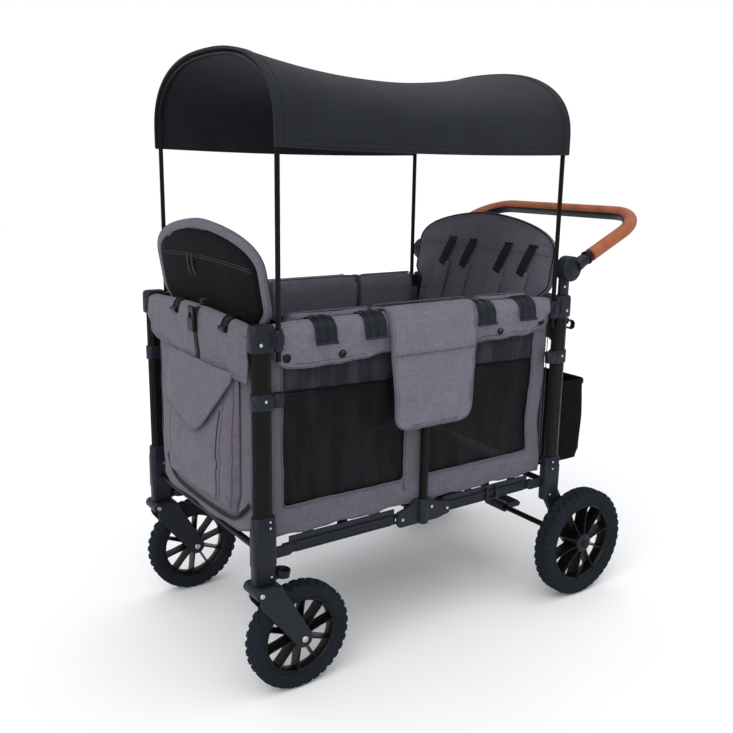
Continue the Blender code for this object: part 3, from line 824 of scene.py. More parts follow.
def tub_side(word, side):
    """The cloth of one side: its border, two netting windows, hems and stitching."""
    xs = sorted(set(steps(TUB_FRONT, -0.400, 8) + steps(-0.400, -0.055, 60) + steps(-0.055, 0.018, 12)
                    + steps(0.018, 0.376, 62) + steps(0.376, TUB_REAR, 9)))
    zs = steps(TUB_LOW, WINDOW_LOW, 16) + steps(WINDOW_LOW, WINDOW_HIGH, 30)[1:]
    zs += steps(WINDOW_HIGH, TUB_HIGH, 4)[1:]

    def spot(x, z):
        fall = hem_drop(x) * (1 - smoothstep(TUB_LOW, 0.42, z))
        return x - strip_drift(x, z), side * (CLOTH_Y + side_bulge(x, z)), z - fall

    def face(x, z, out):
        """The distance across the wagon of a point just outside the border cloth."""
        return side * (CLOTH_Y + side_bulge(x, z) + out)

    def sewn(obj, material, *replaced):
        return folds(piece(obj, "front_frame", material, *replaced))

    border = grid(f"side_cloth_{word}", xs, zs, spot, in_window)
    thick(border, 0.0024)
    sewn(border, GREY, f"side_panel_{word}")

    for k, (low, high) in enumerate(WINDOWS):
        def net_spot(x, z):
            across = math.sin(math.pi * (x - low) / (high - low))
            slack = 0.004 + 0.006 * across * math.sin(math.pi * (z - 0.44) / 0.40)
            pleat = 0.0055 * noise.noise(Vector((x * 17 + z * 9, z * 2.2, 2.0))) * across
            return (x - strip_drift(x, z),
                    side * (CLOTH_Y + side_bulge(x, z) * 0.4 - slack + pleat), z)

        net = grid(f"window_{word}_{k}", steps(low - 0.004, high + 0.004, 64),
                   steps(WINDOW_LOW - 0.004, 0.815, 50), net_spot)
        sewn(net, NET)
        edge = rounded_outline(high - low, 0.40, 0.012,
                               ((low + high) / 2, WINDOW_LOW + 0.200), 5)
        rim_path = [Vector((x - strip_drift(x, z), face(x, z, 0.0016), z))
                    for x, z in even_loop(edge, 150) if z < 0.83]
        start = max(range(len(rim_path)), key=lambda i: (rim_path[i] - rim_path[i - 1]).length)
        rim_path = rim_path[start:] + rim_path[:start]
        sewn(piping(f"window_binding_{word}_{k}", rim_path, 0.0020), GREY_PIPING)
        fold_line = [(x, face(x, 0.72, -0.0010), 0.722 - 0.010 * t)
                     for t, x in zip(steps(0, 1, 30), steps(low + 0.002, high - 0.002, 30))]
        sewn(swept(f"window_hem_{word}_{k}", fold_line, flat_section(0.0060, 0.0016), (0, side, 0)), BLACK)
        upper = grid(f"window_upper_{word}_{k}", steps(low - 0.003, high + 0.003, 40),
                     steps(0.716, 0.812, 10),
                     lambda x, z: (x, side * (CLOTH_Y + side_bulge(x, z) - 0.0022
                                              + 0.0012 * math.sin(x * 90)), z))
        sewn(upper, NET_BAND)

    hem_line = [(x, face(x, TUB_LOW, 0.0008), TUB_LOW - hem_drop(x))
                for x in steps(TUB_FRONT + 0.002, TUB_REAR - 0.002, 110)]
    sewn(piping(f"side_hem_{word}", hem_line, 0.0026), GREY_PIPING)
    lines = [[(x - strip_drift(x, z), face(x, z, 0.0014), z) for z in steps(0.46, 0.78, 40)]
             for x in (-0.0505, 0.0135, 0.3805)]
    lines.append([(x, face(x, 0.446, 0.0014), 0.446) for x in steps(-0.405, 0.405, 90)])
    rows = [stitches("row", line, (0, side, 0)) for line in lines]
    sewn(joined(f"side_stitching_{word}", rows), GREY_PIPING)


# ---- padded top rails ----
SLEEVE_ENDS = {"front": (-0.366, -0.098), "rear": (0.098, 0.366)}
CLIPS = {"front": ((-0.334, -0.277), (-0.201, -0.140)), "rear": ((0.140, 0.203), (0.286, 0.345))}
EYELETS = {"front": (-0.398, -0.252), "rear": (0.232, 0.388)}
VALANCE = {"front": (-0.426, -0.100), "rear": (0.100, 0.420)}
VALANCE_HEM = ((-0.426, 0.790), (-0.380, 0.779), (-0.266, 0.779), (-0.115, 0.790), (0.0, 0.786),
               (0.163, 0.785), (0.300, 0.788), (0.385, 0.795), (0.420, 0.806))


def rail_sleeve(word, side, end, body):
    """A gathered cloth tube round the bar."""
    low, high = SLEEVE_ENDS[end]
    out = -1 if end == "front" else 1

    def spot(turn, x):
        near_post = smoothstep(0.30, 0.366, out * x)
        close = min(x - low, high - x)
        radius = 0.0262 - 0.006 * math.exp(-close / 0.010)
        gather = 0.0016 * near_post * math.sin(turn * 11 + x * 60)
        ripple = 0.0014 * noise.noise(Vector((x * 40, math.cos(turn) * 2, math.sin(turn) * 2 + side)))
        radius += gather + ripple
        return (x, side * (RAIL_Y + radius * math.cos(turn) * 0.98), RAIL_Z + radius * math.sin(turn))

    turns = [2 * math.pi * k / 28 for k in range(28)]
    sleeve = grid(f"rail_sleeve_{end}_{word}", turns, steps(low, high, 70), spot, ring=True)
    capped(sleeve).data.shade_smooth()
    piece(sleeve, body, GREY, f"upper_{end}_rail_{word}")

    pins = (out * PIVOT_OUT, out * PIVOT_MID)
    route = [(x, side * RAIL_Y, RAIL_Z) for x in (min(pins) - 0.011, min(pins), max(pins), max(pins) + 0.011)]
    parts = [swept("bar", route, flat_section(0.010, 0.025, 0.003), (0, 0, 1))]
    for x in pins:
        parts.append(lathed("eye", [(-0.0051, 0.0132), (0.0051, 0.0132)],
                            (x, side * RAIL_Y, RAIL_Z), (0, 1, 0), 20))
    piece(joined(f"rail_bar_{end}_{word}", parts), body, SLATE)


def rail_valance(word, side, end, body):
    """Cloth that comes over the sleeve and hangs outside it in a soft skirt."""
    low, high = VALANCE[end]

    def hem(x):
        fall = between(VALANCE_HEM, x)
        outer = (x - low) if end == "front" else (high - x)
        if outer < 0.030:
            fall += 0.030 - math.sqrt(max(0, 0.030 ** 2 - (0.030 - outer) ** 2))
        return fall + 0.0012 * math.sin(x * 75 + side)

    def spot(x, v):
        wave = 0.0026 * math.sin(x * 58 + 0.7) * v + 0.0042 * noise.noise(Vector((x * 20, v * 3, side)))
        wave += 0.0026 * noise.noise(Vector((x * 60, v * 5, side + 4))) * (0.4 + 0.6 * v)
        outer = (x - low) if end == "front" else (high - x)
        pinch = math.exp(-max(0, outer) / 0.035)
        if v < 0.45:
            turn = math.radians(100 - 100 * v / 0.45)
            radius = 0.0285 - 0.006 * pinch + wave * 0.4
            return x, side * (RAIL_Y + radius * math.cos(turn)), RAIL_Z + radius * math.sin(turn)
        t = (v - 0.45) / 0.55
        y = RAIL_Y + 0.0285 - 0.006 * pinch - 0.012 * smoothstep(0, 1, t) + wave
        gather = 0.0010 * pinch * math.sin(v * 60)
        return x, side * (y + gather), RAIL_Z + (hem(x) - RAIL_Z) * t

    skirt = grid(f"rail_valance_{end}_{word}", steps(low, high, 74), steps(0, 1, 26), spot)
    thick(skirt, 0.0026)
    # Painted light: the left skirt, on the side that faces the lamps, gets the paler copy of the grey cloth.
    piece(skirt, body, GREY_PAINTED_LIT if side < 0 else GREY)
    edge = [Vector(spot(x, 1.0)) for x in steps(low, high, 74)]
    sides_up = [Vector(spot(low if end == "front" else high, v)) for v in steps(1.0, 0.2, 14)]
    path = (list(reversed(sides_up)) + edge[1:]) if end == "front" else (edge[:-1] + sides_up)
    lip = piping(f"valance_piping_{end}_{word}", path, 0.0027, up=(0.05, side, 0.1))
    inner = [p + Vector((0, side * 0.0016, 0.0085)) for p in edge[3:-3]]
    inner_line = piping("second", inner, 0.0011, up=(0.05, side, 0.1))
    piece(joined(f"valance_piping_{end}_{word}", [lip, inner_line]), body, GREY_PIPING)

    rings = []
    for x in EYELETS[end]:
        z = hem(x) + 0.021
        v = 0.45 + 0.55 * (RAIL_Z - z) / (RAIL_Z - hem(x))
        place = Vector(spot(x, v)) + Vector((0, side * 0.0016, 0))
        profile = [(0.0, 0.0105), (0.0016, 0.0100), (0.0024, 0.0078), (0.0016, 0.0056), (0.0, 0.0050)]
        rings.append(closed_lathe("ring", profile, place, (0, side, 0), 24))
        rings.append(lathed("hole", [(-0.0006, 0.0052), (0.0004, 0.0052)], place, (0, side, 0), 20))
    piece(joined(f"eyelets_{end}_{word}", rings), body, DARK)


def rail_clips(word, side, end, body):
    """Ribbed bands that hold the cloth to the bar."""
    parts = []
    for low, high in CLIPS[end]:
        profile = [(low, 0.0322), (low + 0.002, 0.0342)]
        for rib in (0.30, 0.70):
            at = low + (high - low) * rib
            profile += [(at - 0.0062, 0.0342), (at - 0.0046, 0.0366), (at + 0.0046, 0.0366),
                        (at + 0.0062, 0.0342)]
        profile += [(high - 0.002, 0.0342), (high, 0.0322)]
        turns = [math.radians(a) for a in steps(150, -36, 32)]

        def spot(turn, k):
            x, radius = profile[int(k)]
            out = math.cos(turn) if turn > 0 else 1 + 0.10 * math.sin(-turn)
            return (x, side * (RAIL_Y + (radius + 0.0030) * out), RAIL_Z + radius * math.sin(turn))

        band = grid("band", turns, list(range(len(profile))), spot)
        band.data.set_sharp_from_angle(angle=math.radians(28))
        parts.append(thick(band, 0.0030, -1))
        toe = Vector(((low + high) / 2, side * (RAIL_Y + 0.0395), RAIL_Z - 0.0210))
        parts.append(block("toe", toe - Vector(((high - low) / 2, 0.0042, 0.0036)),
                           toe + Vector(((high - low) / 2, 0.0020, 0.0036)), 0.0016, 2))
    piece(joined(f"rail_clips_{end}_{word}", parts), body, SLATE)


PAD_SPAN = {"front": (-0.377, -0.140, 0.2525), "middle": (-0.137, 0.166, 0.2440),
            "rear": (0.172, 0.377, 0.2525)}


def inner_pad(word, side, end, body):
    """A padded roll that shields the inside of the rail."""
    low, high, across = PAD_SPAN[end]
    low_z, high_z = 0.776, 0.896
    middle_z, half_z = (low_z + high_z) / 2, (high_z - low_z) / 2

    def spot(v, x):
        turn = 2 * math.pi * v
        y, z = 0.0062 * math.cos(turn), math.sin(turn)
        lean = 0.010 * smoothstep(0.2, 1, z)
        close = min(x - low, high - x)
        slim = math.sqrt(max(0.02, min(1, close / 0.012)))
        return (x, side * (across + y * slim + lean),
                middle_z + half_z * signed_power(z, 0.7) * (0.94 + 0.06 * slim))

    pad = grid(f"inner_pad_{end}_{word}", [k / 24 for k in range(24)], steps(low, high, 30),
               spot, ring=True)
    puffed(capped(pad), 3.0, 0.0035, 0.006, 12)
    wrinkled(pad, 0.0016, 16, side)
    # Painted light: the paler copy of the grey cloth brightens these pads, which sit in shade inside the tub.
    piece(pad, body, GREY_PAINTED_LIT)
    edge = rounded_outline(high - low - 0.006, high_z - low_z - 0.006, 0.014,
                           ((low + high) / 2, middle_z), 5)
    path = [(x, side * (across - 0.0050 + 0.010 * smoothstep(0.55, 1, (z - low_z) / (high_z - low_z))), z)
            for x, z in even_loop(edge, 90)]
    piece(piping(f"inner_pad_piping_{end}_{word}", path, 0.0020, True), body, GREY_PIPING)


# ---- centre flaps ----
FLAP_PATH = ((0.2560, 0.842), (0.2580, 0.868), (0.2700, 0.886), (0.2880, 0.8905), (0.3060, 0.886),
             (0.3190, 0.868), (0.3235, 0.842), (0.3240, 0.800), (0.3230, 0.740), (0.3210, 0.680),
             (0.3200, 0.630), (0.3205, 0.5945))


def centre_flap(word, side):
    """A padded flap that hangs over the middle of the rail."""
    line = curved([(y, z, 0) for y, z in FLAP_PATH], 6)
    total = sum((b - a).length for a, b in zip(line, line[1:]))
    runs = [0.0]
    for a, b in zip(line, line[1:]):
        runs.append(runs[-1] + (b - a).length)

    def half_width(run):
        left = total - run
        wide = 0.1320 - 0.0150 * smoothstep(0.10, total, run)
        if left < 0.032:
            wide -= 0.032 - math.sqrt(max(0, 0.032 ** 2 - (0.032 - left) ** 2))
        return wide

    def spot(u, k):
        run = runs[int(k)]
        y, z = line[int(k)][0], line[int(k)][1]
        centre = 0.004 + 0.010 * smoothstep(0.10, total, run)
        belly = 0.0035 * (1 - u * u) * smoothstep(0.12, 0.2, run) * (1 - 0.6 * smoothstep(0.3, total, run))
        ripple = 0.0030 * noise.noise(Vector((u * 3.2, run * 16, side + 5)))
        ripple += 0.0014 * noise.noise(Vector((u * 9, run * 44, side + 8)))
        return centre + u * half_width(run), side * (y + belly + ripple), z

    us = [math.sin(math.pi / 2 * t) for t in steps(-1, 1, 40)]
    flap = grid(f"centre_flap_{word}", us, list(range(len(line))), spot)
    thick(flap, 0.0046)
    # Painted light: the paler copy of the grey cloth makes the flap read brighter than the side cloth next to
    # it.
    piece(flap, "middle_frame", GREY_PAINTED_LIT)

    last = len(line) - 1
    left_side = [Vector(spot(-1, k)) for k in range(4, last)]
    bottom = [Vector(spot(u, last)) for u in us]
    right_side = [Vector(spot(1, k)) for k in range(last - 1, 3, -1)]
    path = left_side + bottom + right_side
    ways = [Vector((0.2, side, 0.2))] * len(path)
    lip = swept("lip", path, flat_section(0.0078, 0.0068, 0.0032), ways)
    inset = 0.0075
    inner_path = [Vector((p.x + math.copysign(inset, 0.005 - p.x), p.y + side * 0.0026,
                          p.z + (inset if p.z < 0.66 else 0))) for p in path[::2]]
    inner = piping("inner", inner_path, 0.0009, up=(0.1, side, 0.1))
    seam_run = max(k for k in range(len(line)) if line[k][1] > 0.780)
    across = [Vector(spot(u, seam_run)) + Vector((0, side * 0.0030, 0)) for u in us[1:-1]]
    seam = piping("seam", across, 0.0010, up=(0, side, 0.3))
    piece(joined(f"flap_piping_{word}", [lip, inner, seam]), "middle_frame", GREY_PIPING)
    row = [p - Vector((0, -side * 0.0002, 0.004)) for p in across]
    piece(stitches(f"flap_stitching_{word}", row, (0, side, 0)), "middle_frame", GREY_PIPING)


# ---- front and rear cloth ----
def end_cloth(name, end, replaced, body):
    """The panel between two posts, with its sides turned back to the posts."""
    def spot(y, z):
        edge = smoothstep(0.226, 0.256, abs(y))
        bow = 0.008 * (1 - (y / 0.285) ** 2) * (0.4 + 0.6 * smoothstep(0.8, 0.45, z))
        ripple = 0.0040 * noise.noise(Vector((y * 8, z * 9, end * 3)))
        ripple += 0.0018 * noise.noise(Vector((y * 30, z * 22, end * 3 + 5)))
        corner = 0.016 * smoothstep(0.19, 0.256, abs(y)) * (1 - smoothstep(TUB_LOW, 0.43, z))
        x = 0.4685 + bow + ripple - 0.011 * edge
        return end * x, y, z + corner + 0.003 * math.sin(y * 30) * (1 - smoothstep(TUB_LOW, 0.42, z))

    panel = grid(name, steps(-0.256, 0.256, 70), steps(0.384, 0.836, 56), spot)
    thick(panel, 0.0026)
    piece(panel, body, GREY, replaced)
    hem = [Vector(spot(y, 0.384)) for y in steps(-0.283, 0.283, 60)]
    lines = [piping("hem", hem, 0.0028, up=(1, 0, 0.1))]
    for y in (-0.262, 0.262):
        seam = [Vector(spot(y, z)) + Vector((end * 0.0015, 0, 0)) for z in steps(0.40, 0.80, 40)]
        lines.append(piping("seam", seam, 0.0013, up=(1, 0, 0.02)))
    piece(joined(f"{name}_piping", lines), body, GREY_PIPING)


def end_flap(name, end, body, hem_table):
    """The padded cloth that comes over the end rail and hangs in front of the panel."""
    profile = ((0.449, 0.822), (0.4520, 0.850), (0.4570, 0.874), (0.470, 0.883), (0.4830, 0.878),
               (0.4890, 0.858), (0.4895, 0.830))
    line = curved([(a, b, 0) for a, b in profile], 5)

    def spot(y, v):
        ripple = 0.0048 * noise.noise(Vector((y * 9, v * 3.4, end * 2 + 7)))
        ripple += 0.0024 * noise.noise(Vector((y * 34, v * 6, end * 2 + 1)))
        pleat = 0.0030 * noise.noise(Vector((y * 42, v * 1.5, 0.4))) * v * v
        pinch = smoothstep(0.245, 0.285, abs(y))
        lift = 0.006 * math.cos(y * 9) * (1 - pinch)
        if v <= 0.5:
            k = v / 0.5 * (len(line) - 1)
            i = min(len(line) - 2, int(k))
            p = line[i].lerp(line[i + 1], k - i)
            x, z = p.x + ripple * v, p.y + lift * math.sin(math.pi * v / 0.5 * 0.9)
            return end * (x + (0.470 - x) * 0.45 * pinch), y, z - 0.012 * pinch * (z > 0.86)
        t = (v - 0.5) / 0.5
        x = 0.4895 - 0.004 * t + ripple + pleat - 0.008 * pinch
        drawn_in = (0.085 if y * end < 0 else 0.015) * t * pinch
        return end * x, y * (1 - drawn_in), 0.830 + (between(hem_table, y) - 0.830) * t

    us = steps(-0.284, 0.284, 70)
    flap = grid(name, us, steps(0, 1, 40), spot)
    thick(flap, 0.0032)
    piece(flap, body, GREY)
    edge = [Vector(spot(y, 1.0)) for y in us]
    inner = [Vector(spot(y, 0.93)) + Vector((end * 0.0018, 0, 0)) for y in us[1:-1]]
    lines = [piping("lip", edge, 0.0027, up=(1, 0, 0.1)), piping("inner", inner, 0.0010, up=(1, 0, 0.1))]
    piece(joined(f"{name}_piping", lines), body, GREY_PIPING)
    return spot


LID_MIDDLE, LID_HALF = -0.046, 0.174
LID_TIP = ((-1.00, 0.746), (-0.96, 0.734), (-0.42, 0.628), (-0.34, 0.616), (-0.26, 0.609), (-0.16, 0.606),
           (0.00, 0.607), (0.70, 0.637), (0.86, 0.646), (0.94, 0.654), (0.98, 0.664), (1.00, 0.678))


def front_pocket():
    """A bellows pocket with a pointed lid."""
    centre_y, half_y = -0.044, 0.184
    low, high = 0.428, 0.772

    def depth(y, z):
        u = (y - centre_y) / half_y
        t = (z - low) / (high - low)
        side_fall = max(0, 1 - abs(u) ** 5) ** 0.5
        up_fall = smoothstep(0, 0.10, t) * (1 - 0.80 * smoothstep(0.35, 1.0, t))
        return 0.006 + 0.033 * side_fall * up_fall

    def spot(u, t):
        corner = 0.10 * (1 - smoothstep(0, 0.16, t)) + 0.05 * smoothstep(0.9, 1, t)
        y = centre_y + u * half_y * (1 - corner)
        z = low + (high - low) * t
        d = depth(y, z)
        sag = 0.0048 * noise.noise(Vector((y * 12, z * 11, 1.7)))
        sag += 0.0022 * noise.noise(Vector((y * 30 + z * 20, z * 26, 4.7)))
        fold = 0.0035 * math.exp(-((z - 0.475 - 0.4 * abs(y)) / 0.012) ** 2) * (abs(u) < 0.97)
        shell = (1 - abs(u) ** 14)
        return -(0.4740 + (d + sag - fold) * shell), y, z

    us = [math.copysign(abs(t) ** 0.6, t) for t in steps(-1, 1, 56)]
    pouch = grid("front_pocket", us, steps(0, 1, 52), spot)
    thick(pouch, 0.0022)
    piece(pouch, "front_frame", GREY)

    rim_path = [Vector(spot(-0.93, t)) for t in steps(0.98, 0.05, 44)]
    rim_path += [Vector(spot(u, 0.025)) for u in steps(-0.90, 0.90, 40)]
    rim_path += [Vector(spot(0.93, t)) for t in steps(0.05, 0.98, 44)]
    rim_path = [p + Vector((-0.0012, 0, 0)) for p in rim_path]
    lines = [piping("rim", rim_path, 0.0022, up=(1, 0.05, 0.02))]
    for u in (-0.77, 0.77):
        gusset = [Vector((x - 0.0014, y, z)) for x, y, z in (spot(u, t) for t in steps(0.84, 0.07, 40))]
        lines.append(piping("gusset", gusset, 0.0018, up=(1, 0.05, 0.02)))
    piece(joined("front_pocket_piping", lines), "front_frame", GREY_PIPING)

    def lid_spot(u, t):
        top = 0.766
        y = LID_MIDDLE + u * LID_HALF
        tip = straight(LID_TIP, u)
        z = top + (tip - top) * t
        x = spot((y - centre_y) / half_y, (z - low) / (high - low))[0]
        curl = 0.007 + 0.006 * t + 0.0014 * noise.noise(Vector((y * 14, z * 12, 3.1)))
        return x - curl, y, z

    lid = grid("pocket_lid", steps(-1, 1, 90), steps(0, 1, 30), lid_spot)
    thick(lid, 0.0034)
    piece(lid, "front_frame", GREY)
    edge = [Vector(lid_spot(-1, t)) for t in steps(0, 0.95, 14)]
    edge += [Vector(lid_spot(u, 1)) for u in steps(-1, 1, 44)]
    edge += [Vector(lid_spot(1, t)) for t in steps(0.95, 0, 14)]
    piece(piping("pocket_lid_piping", edge, 0.0026, up=(1, 0.1, 0.1)), "front_frame", GREY_PIPING)

    zip_line = []
    for u in steps(-1, 1, 90):
        y = -0.030 + u * 0.222
        bow = 0.008 * (1 - (y / 0.285) ** 2) - 0.011 * smoothstep(0.226, 0.256, abs(y))
        zip_line.append(Vector((-(0.4745 + bow), y, 0.404 + 0.052 * abs(u) ** 7 + 0.004 * u * u)))
    teeth = [swept("tape", zip_line, flat_section(0.012, 0.0020), (1, 0, 0))]
    for p in zip_line[1:-1]:
        teeth.append(block("tooth", p + Vector((-0.0022, -0.0016, -0.0024)),
                           p + Vector((-0.0006, 0.0016, 0.0024)), 0.0004, 1))
    gap_line = [Vector(spot(-0.70, t)) + Vector((-0.0012, 0, 0)) for t in steps(0.70, 0.08, 40)]
    teeth.append(swept("gusset_zip", gap_line, flat_section(0.0048, 0.0016), (-1, 0, 0)))
    piece(joined("front_zip", teeth), "front_frame", DARK)


# ---- seats ----
SEAT_HINGE = (0.375, 0.606)
SEAT_LEAN = math.radians(9.4)
SEAT_TOP = 0.488


def seat_half_width(s):
    """Half the width of a seat back at a height along it."""
    if s < 0.268:
        return 0.254
    if s < 0.305:
        return 0.254 + 0.034 * smoothstep(0.268, 0.305, s)
    if s < 0.382:
        return 0.288
    reach = min(1.0, (s - 0.382) / (SEAT_TOP - 0.382))
    return 0.288 * max(0.0, 1 - reach ** 2.6) ** 0.62


def on_seat(end, y, s, out):
    """A point of a seat back: y across, s up along it, out towards the passenger."""
    x = SEAT_HINGE[0] + s * math.sin(SEAT_LEAN) - out * math.cos(SEAT_LEAN)
    return Vector((end * x, y, SEAT_HINGE[1] + s * math.cos(SEAT_LEAN) + out * math.sin(SEAT_LEAN)))


def seat_edge(inset):
    """The rim of a seat back, from its lower left corner over the top to the lower right one."""
    heights = [0.004 + 0.376 * k / 40 for k in range(40)]
    heights += [0.382 + (SEAT_TOP - 0.0005 - 0.382) * math.sin(math.pi / 2 * k / 26) for k in range(27)]
    left = [(-(seat_half_width(s) - inset), s if s < 0.3 else s - inset * smoothstep(0.3, SEAT_TOP, s))
            for s in heights]
    left = [(y if y < 0 else 0.0, s) for y, s in left]
    return left + [(-y, s) for y, s in reversed(left[:-1])]


def shell_between(name, end, rim, front, back, crown):
    """A closed pad inside a rim: rows shrink from the rim to its middle line on both faces."""
    centre_s = 0.235
    layers = [(0.06, back), (0.5, back), (0.93, back), (1.0, back * 0.5)]
    for k in (0.995, 0.975, 0.94, 0.88, 0.78, 0.64, 0.48, 0.30, 0.14, 0.04):
        layers.append((k, front * (1 - k ** 14) ** 0.5 + crown * (1 - k ** 3)))
    rings = [[on_seat(end, y * k, centre_s + (s - centre_s) * k, out) for y, s in rim] for k, out in layers]
    return skinned(name, rings, sharp=180)


PAD_CENTRES = (-0.172, -0.078, 0.070, 0.164)
CHANNELS = (0.245, 0.385)


def seat_back(word, end):
    """A padded back with its black cover, pull tabs and two five-point harnesses."""
    body = f"{word}_seat_back"
    rim = seat_edge(0.003)
    cushion = shell_between(f"{word}_cushion", end, rim, 0.0060, -0.0065, 0.0030)

    def pinned(co):
        s = (co.z - SEAT_HINGE[1]) / math.cos(SEAT_LEAN)
        out = SEAT_HINGE[0] + s * math.sin(SEAT_LEAN) - abs(co.x)
        near = min(abs(s - c) for c in CHANNELS)
        edge = seat_half_width(min(s, SEAT_TOP - 0.002)) - abs(co.y)
        back = out < -0.002
        return 1.0 if back or near < 0.005 or edge < 0.006 or s < 0.02 else 0.0

    puffed(cushion, 5.0, 0.009, 0.008, 14, pinned)
    wrinkled(cushion, 0.0022, 11, end * 3.0)
    piece(cushion, body, GREY, f"{word}_seat_cushion")

    edge_path = [on_seat(end, y, s, 0.0030) for y, s in seat_edge(0.0010)]
    way = (-end * math.cos(SEAT_LEAN), 0, math.sin(SEAT_LEAN))
    lip = swept(f"{word}_seat_piping", edge_path, round_section(0.0017, 8), way)
    piece(lip, body, BLACK)

    band_path = [on_seat(end, y, s, -0.0034) for y, s in seat_edge(0.008)]
    band = swept(f"{word}_seat_band", band_path, flat_section(0.022, 0.0118, 0.0024), way)
    piece(band, body, GREY)

    cover_rim = seat_edge(0.017)
    cover = shell_between(f"{word}_seat_cover", end, cover_rim, -0.0060, -0.0125, -0.0010)
    for vert in cover.data.vertices:
        local = vert.co.z - SEAT_HINGE[1]
        vert.co.x += end * (0.0035 * smoothstep(0.06, 0.20, local) * (1 - smoothstep(0.28, 0.46, local))
                            + 0.0022 * noise.noise(vert.co * 9))
    piece(cover, body, BLACK)
    rows = []
    for s in (0.398, 0.404):
        half = seat_half_width(s) - 0.034
        rows.append(stitches("row", [on_seat(end, y, s - 0.012 * (y / 0.28) ** 2, -0.0146)
                                     for y in steps(-half, half, 60)],
                             (end, 0, -0.1), 0.006, 0.004, 0.0005))
    piece(joined(f"{word}_seat_stitching", rows), body, GREY_PIPING)
    straps = []
    for y in (0.050, 0.075):
        straps.append(swept("pull", [on_seat(end, y, s, -0.0150 - 0.004 * math.sin(math.pi * t))
                                     for t, s in zip(steps(0, 1, 8), steps(0.405, 0.350, 8))],
                            flat_section(0.014, 0.0016), (end, 0, 0)))
    piece(joined(f"{word}_seat_pulls", straps), body, STRAP)

    pads, pipes, webs, buckles = [], [], [], []
    for centre in PAD_CENTRES:
        low_s, high_s, half = 0.080, 0.332, 0.0290

        def pad_spot(u, t):
            s = low_s + (high_s - low_s) * t
            lean = -0.040 * (t - 0.5) + 0.004 * math.sin(t * 3 + centre * 9)
            y = centre + lean + u * half * (1 - 0.10 * abs(2 * t - 1) ** 4)
            lift = 0.0135 + 0.0075 * math.sin(math.pi * min(1, t * 1.15)) + 0.004 * (1 - u * u)
            lift *= 0.50 + 0.50 * smoothstep(0.21, 0.29, s)
            return on_seat(end, y, s, lift + 0.0015 * noise.noise(Vector((u * 2, t * 5, centre * 20))))

        pad = grid("pad", steps(-1, 1, 10), steps(0, 1, 34), pad_spot)
        thick(pad, 0.010)
        pads.append(finer(rounded_edges(pad, 0.003, 2, 50)))
        rim_pad = [pad_spot(-1, t) for t in steps(0, 1, 34)]
        rim_pad += [pad_spot(u, 1) for u in steps(-0.9, 0.9, 6)]
        rim_pad += [pad_spot(1, t) for t in steps(1, 0, 34)]
        rim_pad += [pad_spot(u, 0) for u in steps(0.9, -0.9, 6)]
        pipes.append(swept("pipe", rim_pad, round_section(0.0022, 8), (-end, 0, 0.1), True))
        upper = [on_seat(end, centre - 0.0195 - 0.024 * t, 0.322 + 0.080 * t, 0.0225 - 0.010 * t * t)
                 for t in steps(0, 1, 12)]
        webs.append(swept("web", upper, flat_section(0.029, 0.0018), (-end, 0, 0.2)))
        lower = [on_seat(end, centre + 0.020, 0.085 - 0.070 * t, 0.0105)
                 for t in steps(0, 1, 12)]
        webs.append(swept("web", lower, flat_section(0.024, 0.0018), (-end, 0, 0.2)))
        slot_at = on_seat(end, centre - 0.044, 0.405, 0.0110)
        webs.append(block("slot", slot_at - Vector((0.003, 0.016, 0.004)),
                          slot_at + Vector((0.003, 0.016, 0.004)), 0.0015))
        ring_at = on_seat(end, centre + 0.020, 0.055, 0.0125)
        ring = rounded_outline(0.034, 0.022, 0.005)
        buckles.append(swept("ring", [ring_at + Vector((0, a, b)) for a, b in ring],
                             round_section(0.0022, 8), (1, 0, 0), True))
    piece(joined(f"{word}_shoulder_pads", pads), body, GREY)
    piece(joined(f"{word}_shoulder_piping", pipes), body, GREY_PIPING)
    piece(joined(f"{word}_harness_webbing", webs), body, STRAP)
    piece(joined(f"{word}_harness_adjusters", buckles), body, DARK)
    seams = []
    for s in CHANNELS:
        half = seat_half_width(s) - 0.012
        seams.append(swept("seam", [on_seat(end, y, s, 0.0085) for y in steps(-half, half, 40)],
                           round_section(0.0014, 6), (-end, 0, 0.1)))
    piece(joined(f"{word}_seat_seams", seams), body, GREY_PIPING)


